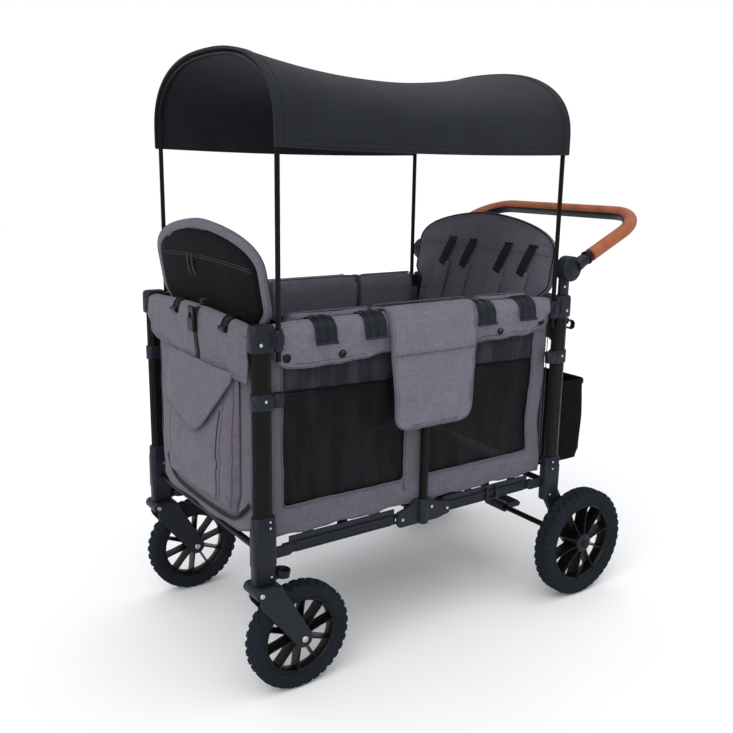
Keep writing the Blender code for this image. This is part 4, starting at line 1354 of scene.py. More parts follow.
def bench_pad(word, end):
    """The seat: a soft pad over the folding board, with two crotch buckles."""
    body = f"{word}_bench"
    near, far = 0.352, 0.128
    low, high = 0.5670, 0.5830

    def spot(u, v):
        """u runs round the section and v across the wagon."""
        turn = 2 * math.pi * u
        c, s = math.cos(turn), math.sin(turn)
        x = (near + far) / 2 + (near - far) / 2 * signed_power(c, 0.35)
        z = (low + high) / 2 + (high - low) / 2 * signed_power(s, 0.55)
        close = min(v + 0.252, 0.252 - v)
        slim = math.sqrt(max(0.05, min(1, close / 0.010)))
        z = (low + high) / 2 + (z - (low + high) / 2) * slim
        return end * x, v, z

    pad = grid(f"{word}_bench_cushion", [k / 48 for k in range(48)], steps(-0.252, 0.252, 50),
               spot, ring=True)

    def pinned(co):
        return 1.0 if (co.z < 0.573 or abs(co.y) < 0.004 or abs(abs(co.x) - 0.290) < 0.004) else 0.0

    puffed(capped(pad), 4.0, 0.010, 0.008, 14, pinned)
    wrinkled(pad, 0.0018, 12, end * 5.0)
    piece(pad, body, GREY, f"{word}_bench_pad")
    line = rounded_outline(0.222, 0.502, 0.014, (end * 0.240, 0), 5)
    rim = [(x, y, 0.5755) for x, y in even_loop(line, 140)]
    seams = [swept("rim", rim, round_section(0.0024, 8), (0, 0, 1), True),
             swept("seam", [(end * x, 0, 0.5850) for x in steps(0.136, 0.344, 20)],
                   round_section(0.0013, 6), (0, 0, 1)),
             swept("seam", [(end * 0.290, y, 0.5850) for y in steps(-0.244, 0.244, 40)],
                   round_section(0.0013, 6), (0, 0, 1))]
    piece(joined(f"{word}_bench_seams", seams), body, GREY_PIPING)
    webs, buckles = [], []
    for y in (-0.122, 0.118):
        route = curved([(end * 0.246, y, 0.584), (end * 0.236, y, 0.600), (end * 0.214, y, 0.606),
                        (end * 0.190, y, 0.600)], 4)
        webs.append(swept("strap", route, flat_section(0.024, 0.0020), (0, 0, 1)))
        buckles.append(block("buckle", (min(end * 0.162, end * 0.194), y - 0.021, 0.590),
                             (max(end * 0.162, end * 0.194), y + 0.021, 0.604), 0.005, 3))
        buckles.append(lathed("button", [(-0.001, 0.0085), (0.0012, 0.0085), (0.0020, 0.0060), (0.0020, 0)],
                              (end * 0.178, y, 0.6040), (0, 0, 1), 20))
    piece(joined(f"{word}_crotch_straps", webs), body, STRAP)
    piece(joined(f"{word}_buckles", buckles), body, DARK)


def floor_cover(name, low, high, body, node):
    """Padded cloth over a floor board, bound at its edges."""
    def spot(x, y):
        ridge = 0.0012 * math.sin(x * 150) + 0.0016 * noise.noise(Vector((x * 9, y * 9, 2.2)))
        edge = min(min(x - low, high - x) / 0.012, (0.258 - abs(y)) / 0.012, 1)
        return x, y, 0.3836 + ridge * edge - 0.0025 * (1 - max(0, edge))

    mat = grid(name, steps(low, high, 40), steps(-0.258, 0.258, 60), spot)
    thick(mat, 0.0040)
    under = block("board", (low, -0.2585, 0.3705), (high, 0.2585, 0.3815), 0.002)
    whole = joined(name, [mat, under])
    piece(whole, body, BLACK, node)
    rim = [(low + 0.002, -0.256), (high - 0.002, -0.256), (high - 0.002, 0.256), (low + 0.002, 0.256)]
    path = [(x, y, 0.3836) for x, y in even_loop(rim, 160)]
    piece(swept(f"{name}_binding", path, round_section(0.0026, 8), (0, 0, 1), True), body, GREY_PIPING)


# ---- canopy ----
def arch(t, spread):
    """A point (y, z) of the arch at t from 0 (left) to 1 (right), moved outwards by spread."""
    turn = math.pi * (1 - t)
    power = 2 / HOOP_POWER
    y = (ROD_Y + spread) * signed_power(math.cos(turn), power)
    return y, HOOP_SPRING + (HOOP_RISE + spread) * abs(math.sin(turn)) ** power


def canopy():
    """One continuous cloth over both hoops."""
    half = ROD_X + 0.0095
    hem_z = 1.252
    sag = 0.045

    def spot(t, x):
        """t runs from the left hem (0) over the top to the right hem (1)."""
        skirt = 0.06
        inside = 1 - (x / (ROD_X - 0.010)) ** 2
        fall = sag * max(0, inside)
        ridge = 0.0022 * math.exp(-((abs(x) - ROD_X) / 0.0075) ** 2)
        if t < skirt or t > 1 - skirt:
            side = -1 if t < 0.5 else 1
            up = (t if t < 0.5 else 1 - t) / skirt
            z = hem_z + (HOOP_SPRING - hem_z) * up
            wave = 0.0016 * math.sin(x * 24 + side) * (1 - up)
            y = side * (ROD_Y + 0.0088 + wave - 0.004 * max(0, inside) * (1 - up) + ridge)
            return x, y, z - 0.006 * max(0, inside) * (1 - up)
        k = (t - skirt) / (1 - 2 * skirt)
        y, z = arch(k, 0.0088 + ridge)
        lift = (z - HOOP_SPRING) / (HOOP_RISE + 0.0088)
        ripple = 0.0022 * noise.noise(Vector((x * 5, y * 6, 4.4))) * max(0, inside)
        drag = 0.0026 * math.sin(y * 20) * math.exp(-(ROD_X - abs(x)) / 0.07) * max(0, inside)
        return x, y * (1 - 0.012 * max(0, inside) * lift), z - fall * lift ** 0.9 + ripple + drag * lift

    xs = steps(-half, -(ROD_X - 0.02), 8) + steps(-(ROD_X - 0.02), ROD_X - 0.02, 56)[1:]
    xs += steps(ROD_X - 0.02, half, 8)[1:]
    turn_list = [0.5 - 0.5 * math.cos(math.pi * k / 72) * (1 - 0.25 * math.sin(math.pi * k / 72) ** 2)
                 for k in range(73)]
    ts = sorted(0.35 * a + 0.65 * b for a, b in zip(turn_list, steps(0, 1, 72)))
    cloth_top = grid("canopy_cover", ts, xs, spot)
    thick(cloth_top, 0.0018)
    piece(cloth_top, "front_hoop", CANOPY, "canopy_fabric")
    folds(cloth_top)
    hems = []
    for x in (-half, half):
        path = [spot(t, x) for t in ts]
        hems.append(swept("hem", path, round_section(0.0030, 8), (1, 0, 0)))
        inner_x = math.copysign(half - 0.0215, x)
        path = [Vector(spot(t, inner_x)) for t in ts]
        out = [Vector((0, p.y, p.z - HOOP_SPRING + 0.02)).normalized() * 0.0012 for p in path]
        hems.append(swept("seam", [p + o for p, o in zip(path, out)], round_section(0.0011, 6), (1, 0, 0)))
    for t in (0, 1):
        path = [spot(t, x) for x in xs]
        hems.append(swept("hem", path, round_section(0.0024, 8), (0, 1, 0.1)))
        side = -1 if t == 0 else 1
        path = [Vector(spot(0.024 if t == 0 else 0.976, x)) + Vector((0, side * 0.0012, 0)) for x in xs]
        hems.append(swept("seam", path, round_section(0.0009, 6), (0, 1, 0.1)))
    trim = joined("canopy_hems", hems)
    piece(trim, "front_hoop", CANOPY)
    folds(trim)


# ---- frame mouldings ----
LEG_FOOT = 0.0225          # round foot of a wheel leg


def place_of(end):
    return "front" if end < 0 else "rear"


def post_section(grow):
    return flat_section(POST_WIDE + grow, POST_DEEP + grow * 0.8, 0.0118, 6)


def collar(name, x, y, levels):
    """A sleeve round a post; levels are (height, how far it stands out)."""
    return skinned(name, [[(x + a, y + b, z) for a, b in post_section(2 * grow)] for z, grow in levels],
                   sharp=50)


def rail_arm(side, end, z):
    """The short arm that carries the pin of a rail."""
    low_y, high_y = sorted((side * 0.2925, side * 0.2985))
    outline = rounded_outline(0.074, 0.0275, 0.0135, (end * 0.4135, z), 6)
    return plate("arm", outline, low_y, high_y, "y", 0.0012)


def rivets(name, body, side, places, radius):
    """Rivet heads on the outer face of a moulding."""
    marks = [rivet("rivet", place, (0, side, 0), radius) for place in places]
    piece(joined(name, marks), body, STEEL)


def leg_outline(foot, head, head_deep, head_wide, foot_count, head_count):
    """The outline of a leg seen from the side, round at its foot and at its head."""
    along = (foot - head).normalized()
    normal = Vector((-along.z, 0, along.x))
    outline = []
    for at, deep, wide, count in ((foot, LEG_FOOT, LEG_FOOT, foot_count),
                                  (head, -head_deep, -head_wide, head_count)):
        for k in range(count):
            a = math.pi * k / (count - 1)
            p = at + along * deep * math.sin(a) + normal * wide * math.cos(a)
            outline.append((p.x, p.z))
    return outline


def post_cap(word, side, end):
    """The cap on a post with its rod socket, clip lever and, at the rear, the handle's stub."""
    x, y = end * POST_X, side * POST_Y
    name = f"{place_of(end)}_cap_{word}"
    body = f"{place_of(end)}_frame"
    parts = [collar("cap", x, y, ((0.824, 0.0042), (0.8255, 0.0054), (0.836, 0.0058), (0.874, 0.0054),
                                  (0.8800, 0.0040), (0.8830, 0.0005)))]
    parts.append(lathed("socket", [(0.824, 0.0092), (0.826, 0.0108), (0.866, 0.0108), (0.8700, 0.0096),
                                   (0.8700, 0.0064)], (end * ROD_X, side * ROD_Y, 0), (0, 0, 1), 24))
    inner, outer = sorted((end * 0.424, end * 0.438))
    parts.append(block("web", (inner, side * ROD_Y - 0.0070, 0.832),
                       (outer, side * ROD_Y + 0.0070, 0.864), 0.002))
    low_y, high_y = sorted((side * (ROD_Y + 0.0095), side * (ROD_Y + 0.0155)))
    parts.append(block("lever", (end * ROD_X - 0.0075, low_y, 0.838), (end * ROD_X + 0.0075, high_y, 0.862),
                       0.0022, 3))
    parts.append(rail_arm(side, end, RAIL_Z))
    if end > 0:
        stub_levels = ((0.878, -0.0065), (0.884, -0.0055), (0.930, -0.0060), (0.944, -0.0075))
        parts.append(collar("stub", HUB_X - 0.004, side * 0.3012, stub_levels))
        parts.append(lathed("disc", [(0.2945, 0.0318), (0.2960, 0.0340), (0.3075, 0.0340), (0.3087, 0.0330)],
                            (HUB_X, 0, HUB_Z), (0, side, 0), 40))
    piece(joined(f"{name}_shell", parts), body, SLATE, name)
    face = y + side * (POST_DEEP / 2 + 0.0052)
    marks = [rivet("rivet", (x + end * 0.008, face - side * 0.0006, 0.842), (0, side, 0), 0.0042)]
    if end > 0:
        marks.append(rivet("rivet", (0.447 + 0.012, side * 0.3125, 0.907), (0, side, 0), 0.0040))
    piece(joined(f"{name}_shell_rivets", marks), body, STEEL)
    low_y, high_y = sorted((face - side * 0.0040, face + side * 0.0009))
    outline = rounded_outline(0.0052, 0.034, 0.0024, (x + end * -0.0155, 0.853), 4)
    groove = plate(f"{name}_shell_slot", outline, low_y, high_y, "y", 0.0003)
    piece(groove, body, DARK)


def mid_clamp(word, side, end):
    """A clamp half-way up a post, with a guide eye round the canopy rod."""
    x, y = end * POST_X, side * POST_Y
    body = f"{place_of(end)}_frame"
    parts = [collar("clamp", x, y, ((0.6960, 0.0018), (0.6972, 0.0028), (0.7308, 0.0028), (0.7320, 0.0018)))]
    eye = [(0.7000, 0.0082), (0.7000, 0.0118), (0.7012, 0.0128), (0.7298, 0.0128), (0.7310, 0.0118),
           (0.7310, 0.0082)]
    parts.append(closed_lathe("eye", eye, (end * ROD_X, side * ROD_Y, 0), (0, 0, 1), 32))
    low_x, high_x = sorted((end * 0.4315, end * 0.4425))
    low_y, high_y = sorted((side * 0.3010, side * 0.3180))
    parts.append(block("web", (low_x, low_y, 0.7040), (high_x, high_y, 0.7270), 0.0026, 3))
    piece(joined(f"mid_clamp_{place_of(end)}_{word}", parts), body, SLATE)
    face = y + side * (POST_DEEP / 2 + 0.0022)
    piece(rivet(f"clamp_rivet_{place_of(end)}_{word}", (x + 0.004, face, 0.7160), (0, side, 0), 0.0036),
          body, STEEL)


def front_knuckle(word, side):
    """The sleeve that carries a front post on its caster."""
    x, y = -POST_X, side * POST_Y
    parts = [collar("sleeve", x, y, ((0.2875, 0.0030), (0.2900, 0.0050), (0.3300, 0.0052), (0.3320, 0.0066),
                                     (0.4220, 0.0060), (0.4240, 0.0048), (0.4470, 0.0042), (0.4490, 0.0026)))]
    parts.append(rail_arm(side, -1, LINK_Z))
    piece(joined(f"front_knuckle_shell_{word}", parts), "front_frame", SLATE, f"front_knuckle_{word}")
    face = y + side * (POST_DEEP / 2 + 0.0050)
    places = [(x + dx, face, z) for dx, z in ((0.010, 0.439), (0.010, 0.424), (0.012, 0.306))]
    rivets(f"front_knuckle_rivets_{word}", "front_frame", side, places, 0.0030)


def rear_knuckle(word, side):
    """The sleeve under a rear post and the leg to the axle."""
    x, y = POST_X, side * POST_Y
    parts = [collar("sleeve", x, y, ((0.3000, 0.0036), (0.3020, 0.0052), (0.3980, 0.0056), (0.4000, 0.0044),
                                     (0.4235, 0.0040), (0.4250, 0.0024)))]
    parts.append(rail_arm(side, 1, LINK_Z))
    outline = leg_outline(Vector((0.554, 0, 0.159)), Vector((x + 0.002, 0, 0.322)), 0.026, 0.027, 13, 13)
    low_y, high_y = sorted((side * 0.2942, side * 0.3118))
    parts.append(plate("leg", outline, low_y, high_y, "y", 0.0040))
    parts.append(lathed("boss", [(0.288, 0.0165), (0.290, 0.0185), (0.3115, 0.0185), (0.3130, 0.0165)],
                        (0.554, 0, 0.159), (0, side, 0), 28))
    piece(joined(f"rear_knuckle_shell_{word}", parts), "rear_frame", SLATE, f"rear_knuckle_{word}")
    face = y + side * (POST_DEEP / 2 + 0.0042)
    places = [(x + dx, face, z) for dx, z in ((-0.006, 0.412), (-0.006, 0.392), (-0.010, 0.316))]
    rivets(f"rear_knuckle_rivets_{word}", "rear_frame", side, places, 0.0030)


def lower_rail(word, side, end):
    """A box-section bar with a rolled lip, and its tabs for the tub."""
    low, high = (-PIVOT_OUT, -PIVOT_MID) if end == "front" else (PIVOT_MID, PIVOT_OUT)
    body = f"lower_{end}_rails"

    def strip(xs, out, up, section):
        """A straight strip along the bar, moved outwards and upwards from its middle line."""
        return swept("strip", [(x, side * (RAIL_Y + out), LINK_Z + up) for x in xs], section, (0, 0, 1))

    lip_span = (low + 0.020, high - 0.020)
    parts = [strip((low - 0.012, low, (low + high) / 2, high, high + 0.012), 0.0, 0.0,
                   flat_section(0.0098, 0.0262, 0.0032, 4)),
             strip(lip_span, 0.0052, 0.0100, flat_section(0.0060, 0.0042, 0.0018)),
             strip(lip_span, 0.0048, -0.0108, flat_section(0.0040, 0.0034, 0.0015)),
             strip((low + 0.006, high - 0.006), -0.0005, 0.0200, flat_section(0.0052, 0.0150, 0.0020))]
    if end == "rear":
        low_y, high_y = sorted((side * 0.2840, side * 0.2990))
        for x in (0.228, 0.262):
            parts.append(block("ear", (x - 0.0035, low_y, 0.3400), (x + 0.0035, high_y, 0.3720), 0.0015))
        parts.append(block("foot", (0.226, low_y, 0.3380), (0.264, high_y, 0.3430), 0.0015))
    piece(joined(f"lower_{end}_bar_{word}", parts), body, SLATE, f"lower_{end}_rail_{word}")
    tabs = []
    for x in steps(low + 0.060, high - 0.060, 2):
        route = curved([(x, side * (RAIL_Y - inward), z) for inward, z in
                        ((0.0030, 0.3920), (0.0062, 0.3780), (0.0068, 0.3640), (0.0066, 0.3480))], 5)
        tabs.append(swept("tab", route, flat_section(0.030, 0.0016), (0, side, 0.1)))
    piece(joined(f"tub_tabs_{end}_{word}", tabs), body, STRAP)
    pins = [rivet("pin", (x, side * (RAIL_Y + 0.0050), LINK_Z), (0, side, 0), 0.0060, 0.003)
            for x in (low, high)]
    piece(joined(f"lower_{end}_pins_{word}", pins), body, STEEL)


def middle_frame(word, side):
    """The centre plate with its sloping top, the cup for the mid post and the pin heads."""
    low_y, high_y = sorted((side * 0.2928, side * 0.3030))
    outline = [(-0.0760, 0.3330), (-0.0700, 0.3290), (0.0500, 0.3290), (0.0900, 0.3370), (0.0925, 0.3600),
               (0.0880, 0.3700), (0.0480, 0.3770), (0.0180, 0.3960), (-0.0200, 0.3960), (-0.0420, 0.3800),
               (-0.0780, 0.3700), (-0.0790, 0.3500)]
    parts = [plate("plate", outline, low_y, high_y, "y", 0.0022)]
    parts.append(lathed("cup", [(0.3300, 0.0130), (0.3320, 0.0142), (0.3930, 0.0142), (0.3952, 0.0125)],
                        (0, side * 0.3035, 0), (0, 0, 1), 28))
    for x in (-PIVOT_MID, PIVOT_MID):
        parts.append(lathed("head", [(0.2790, 0.0085), (0.2818, 0.0085)], (x, 0, LINK_Z), (0, side, 0), 20))
    piece(joined(f"middle_plate_{word}", parts), "middle_frame", SLATE, f"middle_bracket_{word}")
    places = [(x, side * 0.3028, z) for x, z in ((-0.063, 0.350), (0.082, 0.351), (0.030, 0.366))]
    rivets(f"middle_plate_rivets_{word}", "middle_frame", side, places, 0.0042)


def gloss_nodes():
    """CAD nodes whose shape is kept and only refinished."""
    for name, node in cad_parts.items():
        tube = ("post" in name and "bracket" not in name) or "hoop" in name or "axle" in name
        tube = tube or "cross_rail" in name or "top_rail" in name
        material = TANK if tube else SLATE
        node.data.materials.clear()
        node.data.materials.append(material)
        for face in node.data.polygons:
            face.material_index = 0
        node.data.shade_smooth()
        node.data.set_sharp_from_angle(angle=math.radians(35))


# ---- wheels ----
LUG = ((0.00, 0.0), (0.07, 1.0), (0.60, 1.0), (0.67, 0.0))     # (part of a lug's pitch, height)
LUG_HIGH = 0.0038
SPOKES = 10


def tyre(end, word, side):
    """A foam tyre: smooth sidewalls, shoulder lugs and a slanted tread."""
    x, y, radius, width = WHEELS[end]
    half = width / 2
    lugs = 34 if end == "front" else 40
    skew = 0.055 if end == "front" else 0.085
    bead = radius * 0.715
    profile = [(-0.74, bead, 0), (-0.88, bead + 0.0020, 0), (-0.95, bead + 0.0060, 0),
               (-0.97, bead + 0.0110, 0), (-0.955, bead + 0.0118, 0), (-0.975, bead + 0.0126, 0),
               (-1.00, radius - 0.0200, 0), (-1.02, radius - 0.0185, 0.0), (-1.02, radius - 0.0140, 0.10),
               (-0.99, radius - 0.0105, 0.45), (-0.90, radius - 0.0084, 1), (-0.74, radius - 0.0056, 1),
               (-0.52, radius - 0.0050, 1), (-0.24, radius - 0.0050, 0.95), (-0.10, radius - 0.0054, 0.15)]
    profile = profile + [(-a, b, c) for a, b, c in reversed(profile)]
    rings = []
    for k in range(lugs):
        for part, mask in LUG:
            ring = []
            for along, r, share in profile:
                stagger = 0.5 if along > 0 else 0.0
                turn = 2 * math.pi * (k + part + stagger) / lugs
                turn += skew * (abs(along) - 1)
                reach = r + LUG_HIGH * share * mask
                ring.append((x + reach * math.cos(turn), side * y + along * half,
                             radius + reach * math.sin(turn)))
            rings.append(ring)
    obj = skinned(f"{end}_tyre_tread_{word}", rings, True, 38)
    piece(obj, f"{end}_wheel_{word}", TYRE, f"{end}_tyre_{word}")


def wheel_rim(end, word, side):
    """A moulded rim: stepped barrel, ten deep spokes and a round cap."""
    x, y, radius, width = WHEELS[end]
    half = width * 0.40
    bead = radius * 0.722
    centre = (x, side * y, radius)
    ring = [(-half, bead + 0.0002), (-half - 0.0015, bead - 0.0015), (-half, bead - 0.0045),
            (-half * 0.86, bead - 0.0080), (-half * 0.40, bead - 0.0105), (half * 0.40, bead - 0.0105),
            (half * 0.86, bead - 0.0080), (half, bead - 0.0045), (half + 0.0015, bead - 0.0015),
            (half, bead + 0.0002)]
    parts = [closed_lathe("ring", ring, centre, (0, 1, 0), 64)]
    bore = 0.0056 if end == "front" else 0.0091
    hub_r = 0.0215 if end == "front" else 0.0260
    hub = [(-half, bore), (-half, hub_r - 0.004), (-half + 0.002, hub_r - 0.001), (-0.004, hub_r + 0.001),
           (0.004, hub_r + 0.001), (half - 0.002, hub_r - 0.001), (half, hub_r - 0.004), (half, bore)]
    parts.append(closed_lathe("hub", hub, centre, (0, 1, 0), 40))
    stations = (hub_r * 0.8, hub_r * 1.25, bead * 0.60, bead - 0.012, bead - 0.004)
    for k in range(SPOKES):
        turn = 2 * math.pi * (k + 0.35) / SPOKES
        way = Vector((math.cos(turn), 0, math.sin(turn)))
        route = [Vector(centre) + way * r for r in stations]
        parts.append(swept("spoke", route, flat_section(0.0036, width * 0.82, 0.0015), (0, 1, 0),
                           sizes=(1.25, 1.08, 0.95, 1.0, 1.12)))
    piece(joined(f"{end}_rim_spokes_{word}", parts), f"{end}_wheel_{word}", DARK, f"{end}_rim_{word}")
    if end == "rear":
        cap = [(half - 0.001, 0.0265), (half + 0.0040, 0.0262), (half + 0.0068, 0.0235),
               (half + 0.0076, 0.0180), (half + 0.0066, 0.0165), (half + 0.0066, 0.0)]
        caps = [lathed("cap", cap, centre, (0, side, 0), 40)]
        for k in range(5):
            turn = 2 * math.pi * k / 5
            spot = Vector(centre) + Vector((0.0120 * math.cos(turn), side * (half + 0.0066),
                                            0.0120 * math.sin(turn)))
            caps.append(lathed("dot", [(-0.001, 0.0020), (0.0008, 0.0020), (0.0012, 0.0012), (0.0012, 0)],
                               spot, (0, side, 0), 10))
        piece(joined(f"rear_hub_cap_{word}", caps), f"rear_wheel_{word}", SLATE)


def caster(word, side):
    """The swivelling fork, its bolts and the ring of the swivel lock."""
    x, y = -POST_X, side * POST_Y
    axle_x, _, axle_z, _ = WHEELS["front"]
    body = f"caster_{word}"
    crown_section = rounded_outline(0.056, 0.066, 0.016, (0, 0), 6)
    rings = [[(x + drift + a * grow, y + b * grow, z) for a, b in crown_section]
             for z, grow, drift in ((0.2862, 0.86, 0.0), (0.2840, 0.96, 0.0), (0.2760, 1.0, 0.001),
                                    (0.2640, 1.0, 0.006), (0.2560, 0.94, 0.012))]
    parts = [skinned("crown", rings, sharp=50)]
    outline = leg_outline(Vector((axle_x, 0, axle_z)), Vector((x + 0.010, 0, 0.2540)), 0.0290, 0.0335, 15, 9)
    for way in (-1, 1):
        low_y, high_y = sorted((y + way * 0.0245, y + way * 0.0330))
        parts.append(plate("leg", outline, low_y, high_y, "y", 0.0026))
    fender_radius = 0.1430
    fender = [(axle_x + fender_radius * math.cos(a), y, axle_z + fender_radius * math.sin(a))
              for a in [math.radians(degrees) for degrees in steps(131, 114, 10)]]
    parts.append(swept("fender", fender, flat_section(0.0650, 0.0080, 0.0035), (-1, 0, 0.4)))
    parts.append(block("cheek", (x - 0.018, y - 0.0333, 0.2480), (x + 0.036, y + 0.0333, 0.2835), 0.0070, 4))
    parts.append(lathed("stem", [(0.280, 0.0080), (0.3180, 0.0080)], (x, y, 0), (0, 0, 1), 20))
    parts.append(lathed("nose", [(-0.034, 0.0125), (-0.0325, 0.0140), (0.0325, 0.0140), (0.034, 0.0125)],
                        (x - 0.021, y, 0.2740), (0, 1, 0), 28))
    parts.append(lathed("pin", [(-0.0300, 0.0050), (0.0300, 0.0050)], (axle_x, y, axle_z), (0, 1, 0), 16))
    piece(joined(f"caster_fork_shell_{word}", parts), body, SLATE, f"caster_fork_{word}")
    bolts = []
    for bx, bz, r in ((x - 0.021, 0.2740, 0.0062), (axle_x, axle_z, 0.0080)):
        for way in (-1, 1):
            bolts.append(lathed("bolt", [(0.0325, r), (0.0350, r), (0.0362, r * 0.86), (0.0362, r * 0.52),
                                         (0.0346, r * 0.48), (0.0346, 0)], (bx, y, bz), (0, way, 0), 24))
    piece(joined(f"caster_bolts_{word}", bolts), body, STEEL)
    ring = [(0.0, 0.0185), (0.016, 0.0200), (0.018, 0.0190), (0.016, 0.0172), (0.002, 0.0160)]
    lever = closed_lathe("ring", ring, (x + 0.0465, y, 0.2925), (0.12, 0, 1), 32)
    arm = block("arm", (x + 0.022, y - 0.010, 0.2905), (x + 0.034, y + 0.010, 0.3030), 0.003)
    piece(joined(f"swivel_lock_ring_{word}", [lever, arm]), "front_frame", DARK)


# ---- push handle ----
ARM_SLOPE = Vector((BAR_X - HUB_X, 0, BAR_Z - HUB_Z)).normalized()


def handle_route():
    """The middle line of the handle, from one hub round the bar to the other."""
    slope, corner, count = ARM_SLOPE, 0.110, 12
    start = Vector((HUB_X, -ARM_Y, HUB_Z)) + slope * 0.020
    centre = Vector((BAR_X, -ARM_Y + corner, BAR_Z)) - slope * corner
    left = [start + slope * d for d in (0, 0.020, 0.035, 0.060, 0.090, 0.120, 0.150, 0.180)]
    for k in range(count + 1):
        turn = math.pi / 2 * k / count
        left.append(centre + slope * corner * math.sin(turn) - Vector((0, 1, 0)) * corner * math.cos(turn))
    right = [Vector((p.x, -p.y, p.z)) for p in reversed(left)]
    middle = [left[-1].lerp(right[0], t) for t in steps(0, 1, 14)[1:-1]]
    return left + middle + right


def handle():
    """The bar with its hubs and necks, the stitched leather sleeve and the hub buttons."""
    slope = ARM_SLOPE
    above = Vector((-slope.z, 0, slope.x))
    route = handle_route()
    parts = [swept("core", part, round_section(0.0105, 20), tuple(above)) for part in (route[:4], route[-4:])]
    rings = []
    for word, side in SIDES:
        disc = [(0.3092, 0.0325), (0.3104, 0.0340), (0.3240, 0.0340), (0.3262, 0.0334), (0.3285, 0.0310),
                (0.3300, 0.0260), (0.3306, 0.0180), (0.3306, 0)]
        parts.append(lathed("disc", disc, (HUB_X, 0, HUB_Z), (0, side, 0), 48))
        base = Vector((HUB_X, side * ARM_Y, HUB_Z))
        neck = [base + slope * d for d in (0.018, 0.034, 0.0345, 0.050, 0.0505, 0.062)]
        parts.append(swept("neck", neck, flat_section(0.0330, 0.0300, 0.0120, 6), tuple(above),
                           sizes=(1.14, 1.08, 1.0, 0.98, 0.92, 0.90)))
        rings.append(swept("ring", [base + slope * d for d in (0.0615, 0.0625, 0.0665, 0.0675)],
                           round_section(0.0192, 24), tuple(above), sizes=(0.94, 1.0, 1.0, 0.94)))
    piece(joined("handle_frame", parts), "handle", SLATE, "handle_bar")
    piece(joined("handle_rings", rings), "handle", DARK)

    neck_long = 0.058
    grip_route = [p for p in route
                  if (p - Vector((HUB_X, math.copysign(ARM_Y, p.y), HUB_Z))).length > neck_long]
    sides = 28
    loops = []
    for k, spot in enumerate(grip_route):
        before, after = grip_route[max(0, k - 1)], grip_route[min(len(grip_route) - 1, k + 1)]
        along = (after - before).normalized()
        side = along.cross(above).normalized()
        top = side.cross(along)
        ring = []
        for j in range(sides):
            turn = 2 * math.pi * j / sides
            radius = 0.0182 + 0.0002 * noise.noise(spot * 30 + Vector((j, 0, 0)))
            ring.append(spot + side * math.cos(turn) * radius * 0.98 + top * math.sin(turn) * radius)
        loops.append(ring)
    piece(skinned("handle_leather", loops, sharp=60), "handle", LEATHER, "handle_grip")

    inner = []
    for before, spot, after in list(zip(grip_route, grip_route[1:], grip_route[2:]))[4:-4]:
        along = (after - before).normalized()
        inwards = along.cross(above).normalized()
        inwards = inwards if (Vector((HUB_X, 0, HUB_Z)) - spot).dot(inwards) > 0 else -inwards
        face = (inwards - above * 0.38).normalized()
        inner.append((spot + face * 0.0158, face))
    strip = swept("grip_insert", [p for p, _ in inner], flat_section(0.0250, 0.0070, 0.0030),
                  [tuple(w) for _, w in inner])
    piece(strip, "handle", DARK)
    seam = [spot - above * 0.0178 for spot in grip_route[2:-2]]
    piece(stitches("grip_stitching", seam, tuple(-above), 0.0038, 0.0024, 0.0006, 0.0004), "handle", DARK)

    for word, side in SIDES:
        profile = [(0.3262, 0.0150), (0.3300, 0.0164), (0.3318, 0.0160), (0.3330, 0.0140), (0.3336, 0.0090),
                   (0.3338, 0)]
        button = lathed(f"hub_button_dome_{word}", profile, (HUB_X, 0, HUB_Z), (0, side, 0), 36)
        piece(button, f"handle_button_{word}", SLATE, f"hub_button_{word}")


def brake():
    """The ribbed brake pedal."""
    parts = [softened("brake_pedal", 0.0022, "brake_pedal_shell")]
    for k in range(5):
        x = 0.578 + 0.008 * k
        parts.append(swept("rib", [(x, -0.036, 0.1685), (x, 0.036, 0.1685)],
                           round_section(0.0016, 8), (0, 0, 1)))
    piece(joined("brake_pedal_shell", parts), "brake", SLATE, "brake_pedal")


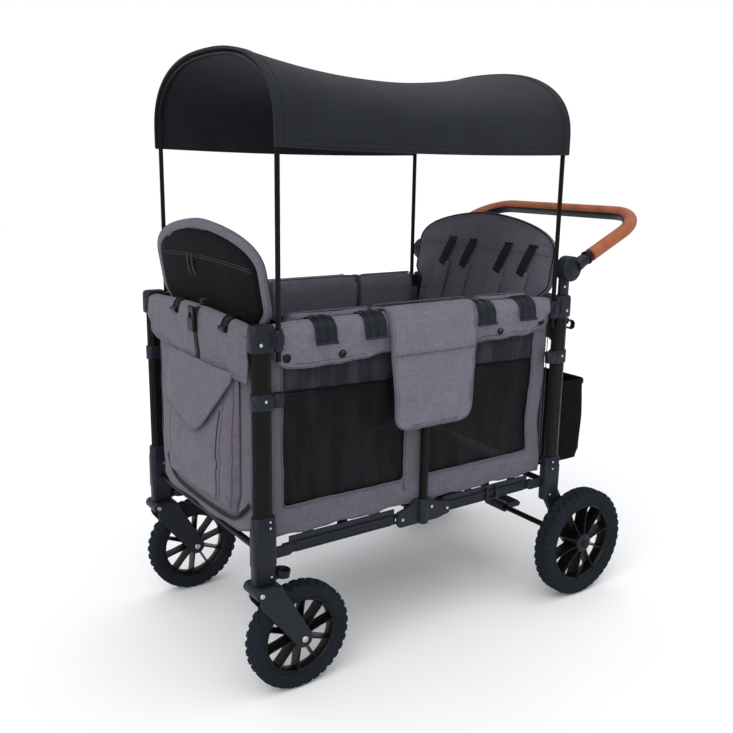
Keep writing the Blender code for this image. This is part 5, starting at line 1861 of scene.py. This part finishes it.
# ---- basket ----
def basket():
    """A cloth basket with a stiff rim, pleated pockets and two hangers."""
    low_x, high_x, half, low_z, high_z = 0.4765, 0.648, 0.248, 0.373, 0.608

    def outline(grow):
        return even_loop(rounded_outline(high_x - low_x + 2 * grow, 2 * half + 2 * grow, 0.022 + grow,
                                         ((low_x + high_x) / 2, 0), 6), 120)

    def wall(grow, levels, inside):
        rows = []
        for z in levels:
            t = (z - low_z) / (high_z - low_z)
            row = []
            for x, y in outline(grow - 0.006 * (1 - smoothstep(0, 0.15, t))):
                out = Vector((x - (low_x + high_x) / 2, y, 0))
                slack = 0.0030 * noise.noise(Vector((x * 14, y * 9, z * 11)))
                face = smoothstep(0.60, 0.64, x) if not inside else 0
                belly = 0.0040 * math.sin(math.pi * min(1, t * 1.05)) * face
                step = out.normalized() * (slack + belly)
                row.append(Vector((min(x + step.x, 0.6510), y + step.y, z)))
            rows.append(row)
        return rows

    levels = steps(low_z, high_z, 30)
    outer = wall(0.0, levels, False)
    inner = wall(-0.0050, list(reversed(levels[1:])), True)
    shell = skinned("basket_shell", outer + inner, sharp=180)
    piece(shell, "rear_frame", BLACK, "basket")
    rim_path = [(x, y, high_z) for x, y in outline(-0.0020)]
    rim = swept("basket_rim", rim_path, flat_section(0.0090, 0.0160, 0.0035), (0, 0, 1), True)
    piece(rim, "rear_frame", BLACK)
    pockets, edges = [], []
    for centre in (-0.158, 0.0, 0.158):
        def spot(u, t):
            y = centre + u * 0.074
            z = 0.392 + 0.165 * t + 0.006 * math.sin(math.pi * (u + 1) / 2) * t
            puff = (1 - u ** 4) * (0.0042 + 0.0070 * math.sin(math.pi * (0.15 + 0.75 * t)))
            pleat = 0.0020 * math.cos(u * math.pi * 5) * (1 - u ** 6)
            return 0.6520 + puff + pleat, y, z

        pocket = grid("pocket", steps(-1, 1, 44), steps(0, 1, 20), spot)
        pockets.append(thick(pocket, 0.0022))
        edges.append(piping("edge", [spot(u, 1) for u in steps(-1, 1, 44)], 0.0024, up=(1, 0, 0.1)))
    piece(joined("basket_pockets", pockets), "rear_frame", BLACK)
    piece(joined("basket_bindings", edges), "rear_frame", GREY_PIPING)
    straps = []
    for y in (-0.200, 0.200):
        route = curved([(0.4820, y, 0.860), (0.4960, y, 0.845), (0.4985, y, 0.760), (0.4950, y, 0.690),
                        (0.4900, y, 0.630)], 6)
        straps.append(swept("hanger", route, flat_section(0.026, 0.0020), (1, 0, 0.05)))
        ring = rounded_outline(0.034, 0.020, 0.004)
        straps.append(swept("slider", [Vector((0.4990, y + a, 0.700 + b)) for a, b in ring],
                            round_section(0.0020, 8), (1, 0, 0), True))
    piece(joined("basket_hangers", straps), "rear_frame", STRAP)


# ---- small fittings ----
def front_straps(flap):
    """The webbing strap and buckle over the front flap, and the two clips on the rail."""
    y = -0.040
    line = [Vector(flap(y, v)) + Vector((-0.0032, 0, 0)) for v in steps(0.26, 0.97, 20)]
    line = [Vector((-0.462, y, 0.906)), Vector((-0.474, y, 0.904))] + line
    tail = Vector(line[-1])
    line += [tail + Vector((-0.0020, 0, -0.012)), tail + Vector((0.0005, 0.0005, -0.028))]
    strap = swept("front_strap", line, flat_section(0.020, 0.0018), (-1, 0, 0.25))
    piece(strap, "front_frame", STRAP)
    buckle_at = Vector(flap(y, 0.42))
    low = buckle_at + Vector((-0.0160, -0.017, -0.030))

    def part(origin, near, far, round_by, segments=2):
        return block("part", origin + Vector(near), origin + Vector(far), round_by, segments)

    parts = [part(low, (0, 0, 0), (0.0110, 0.034, 0.034), 0.0040, 3),
             part(low, (0.0010, 0.001, 0.044), (0.0100, 0.033, 0.060), 0.0030),
             part(tail, (-0.0060, -0.013, -0.036), (0.0010, 0.013, -0.024), 0.0025)]
    parts += [part(low, (0.0020, dy, 0.030), (0.0090, dy + 0.007, 0.048), 0.0022) for dy in (0.002, 0.025)]
    piece(joined("front_buckle", parts), "front_frame", DARK)

    def away(p):
        """The direction out of the end rail at a point."""
        return Vector((p.x + 0.470, 0, p.z - 0.850)).normalized()

    clips = []
    for clip_y in (-0.195, 0.075):
        rows = [Vector(flap(clip_y, v)) for v in steps(0.10, 0.40, 22)]
        rows = [p + away(p) * 0.0040 for p in rows]
        ways = [tuple(away(p)) for p in rows]
        clips.append(swept("band", rows, flat_section(0.0300, 0.0046, 0.0020), ways))
        for edge in (-1, 1):
            clips.append(swept("ridge", [p + Vector(w) * 0.0026 + Vector((0, edge * 0.0105, 0))
                                         for p, w in zip(rows, ways)], round_section(0.0024, 8), (0, 1, 0)))
        toe = rows[-1]
        bar = [toe + Vector((-0.0030, y_off, -0.0030)) for y_off in (-0.0150, 0.0150)]
        clips.append(swept("toe", bar, round_section(0.0068, 14), (0, 0, 1)))
    piece(joined("front_rail_clips", clips), "front_frame", DARK)


def rear_loops(word, side):
    """The cloth loop and hook on a rear post."""
    y = side * 0.3025
    loop = swept("loop", curved([(0.484, y, 0.808), (0.496, y, 0.812), (0.509, y, 0.806), (0.512, y, 0.794),
                                 (0.502, y, 0.787), (0.490, y, 0.792)], 6),
                 flat_section(0.0160, 0.0034, 0.0015), (0, 0, 1))
    hook = block("hook", (0.4790, y - 0.008, 0.8020), (0.4880, y + 0.008, 0.8200), 0.0025)
    piece(joined(f"rear_loop_{word}", [loop, hook]), "rear_frame", DARK)


def mid_post_plug(word, side):
    """The plug in the top of a mid post."""
    profile = [(0.8600, 0.0112), (0.8635, 0.0112), (0.8660, 0.0085), (0.8668, 0)]
    plug = lathed(f"mid_post_plug_{word}", profile, (0, side * 0.3025, 0), (0, 0, 1), 24)
    piece(plug, "middle_frame", DARK)


# ---- the whole wagon ----
def floor():
    """The ground that the wagon stands on, which is no part of it."""
    bm = bmesh.new()
    bmesh.ops.create_grid(bm, x_segments=1, y_segments=1, size=14)
    ground = made("floor", bm)
    ground.data.materials.append(pale_floor("pale_floor"))


END_HEM = ((-0.284, 0.752), (-0.200, 0.757), (-0.060, 0.766), (0.060, 0.762), (0.180, 0.770),
             (0.284, 0.790))

camera()
studio()
floor()
gloss_nodes()
for word, side in SIDES:
    tub_side(word, side)
    for end in ("front", "rear"):
        body = f"upper_{end}_rails"
        rail_sleeve(word, side, end, body)
        rail_valance(word, side, end, body)
        rail_clips(word, side, end, body)
        inner_pad(word, side, end, body)
        lower_rail(word, side, end)
        tyre(end, word, side)
        wheel_rim(end, word, side)
    inner_pad(word, side, "middle", "middle_frame")
    centre_flap(word, side)
    middle_frame(word, side)
    mid_post_plug(word, side)
    for end in (-1, 1):
        post_cap(word, side, end)
    for end in (-1, 1):
        mid_clamp(word, side, end)
    front_knuckle(word, side)
    rear_knuckle(word, side)
    caster(word, side)
    rear_loops(word, side)
end_cloth("front_cloth", -1, "front_panel", "front_frame")
front_straps(end_flap("front_flap", -1, "front_frame", END_HEM))
front_pocket()
end_cloth("rear_cloth", 1, "rear_panel", "rear_frame")
end_flap("rear_flap", 1, "rear_frame", END_HEM)
basket()
for word, end in (("front", -1), ("rear", 1)):
    seat_back(word, end)
    bench_pad(word, end)
floor_cover("floor_mat_front", -0.398, -0.078, "lower_front_rails", "floor_front")
floor_cover("floor_mat_middle", -0.074, 0.074, "middle_frame", "floor_middle")
floor_cover("floor_mat_rear", 0.078, 0.398, "lower_rear_rails", "floor_rear")
canopy()
handle()
brake()
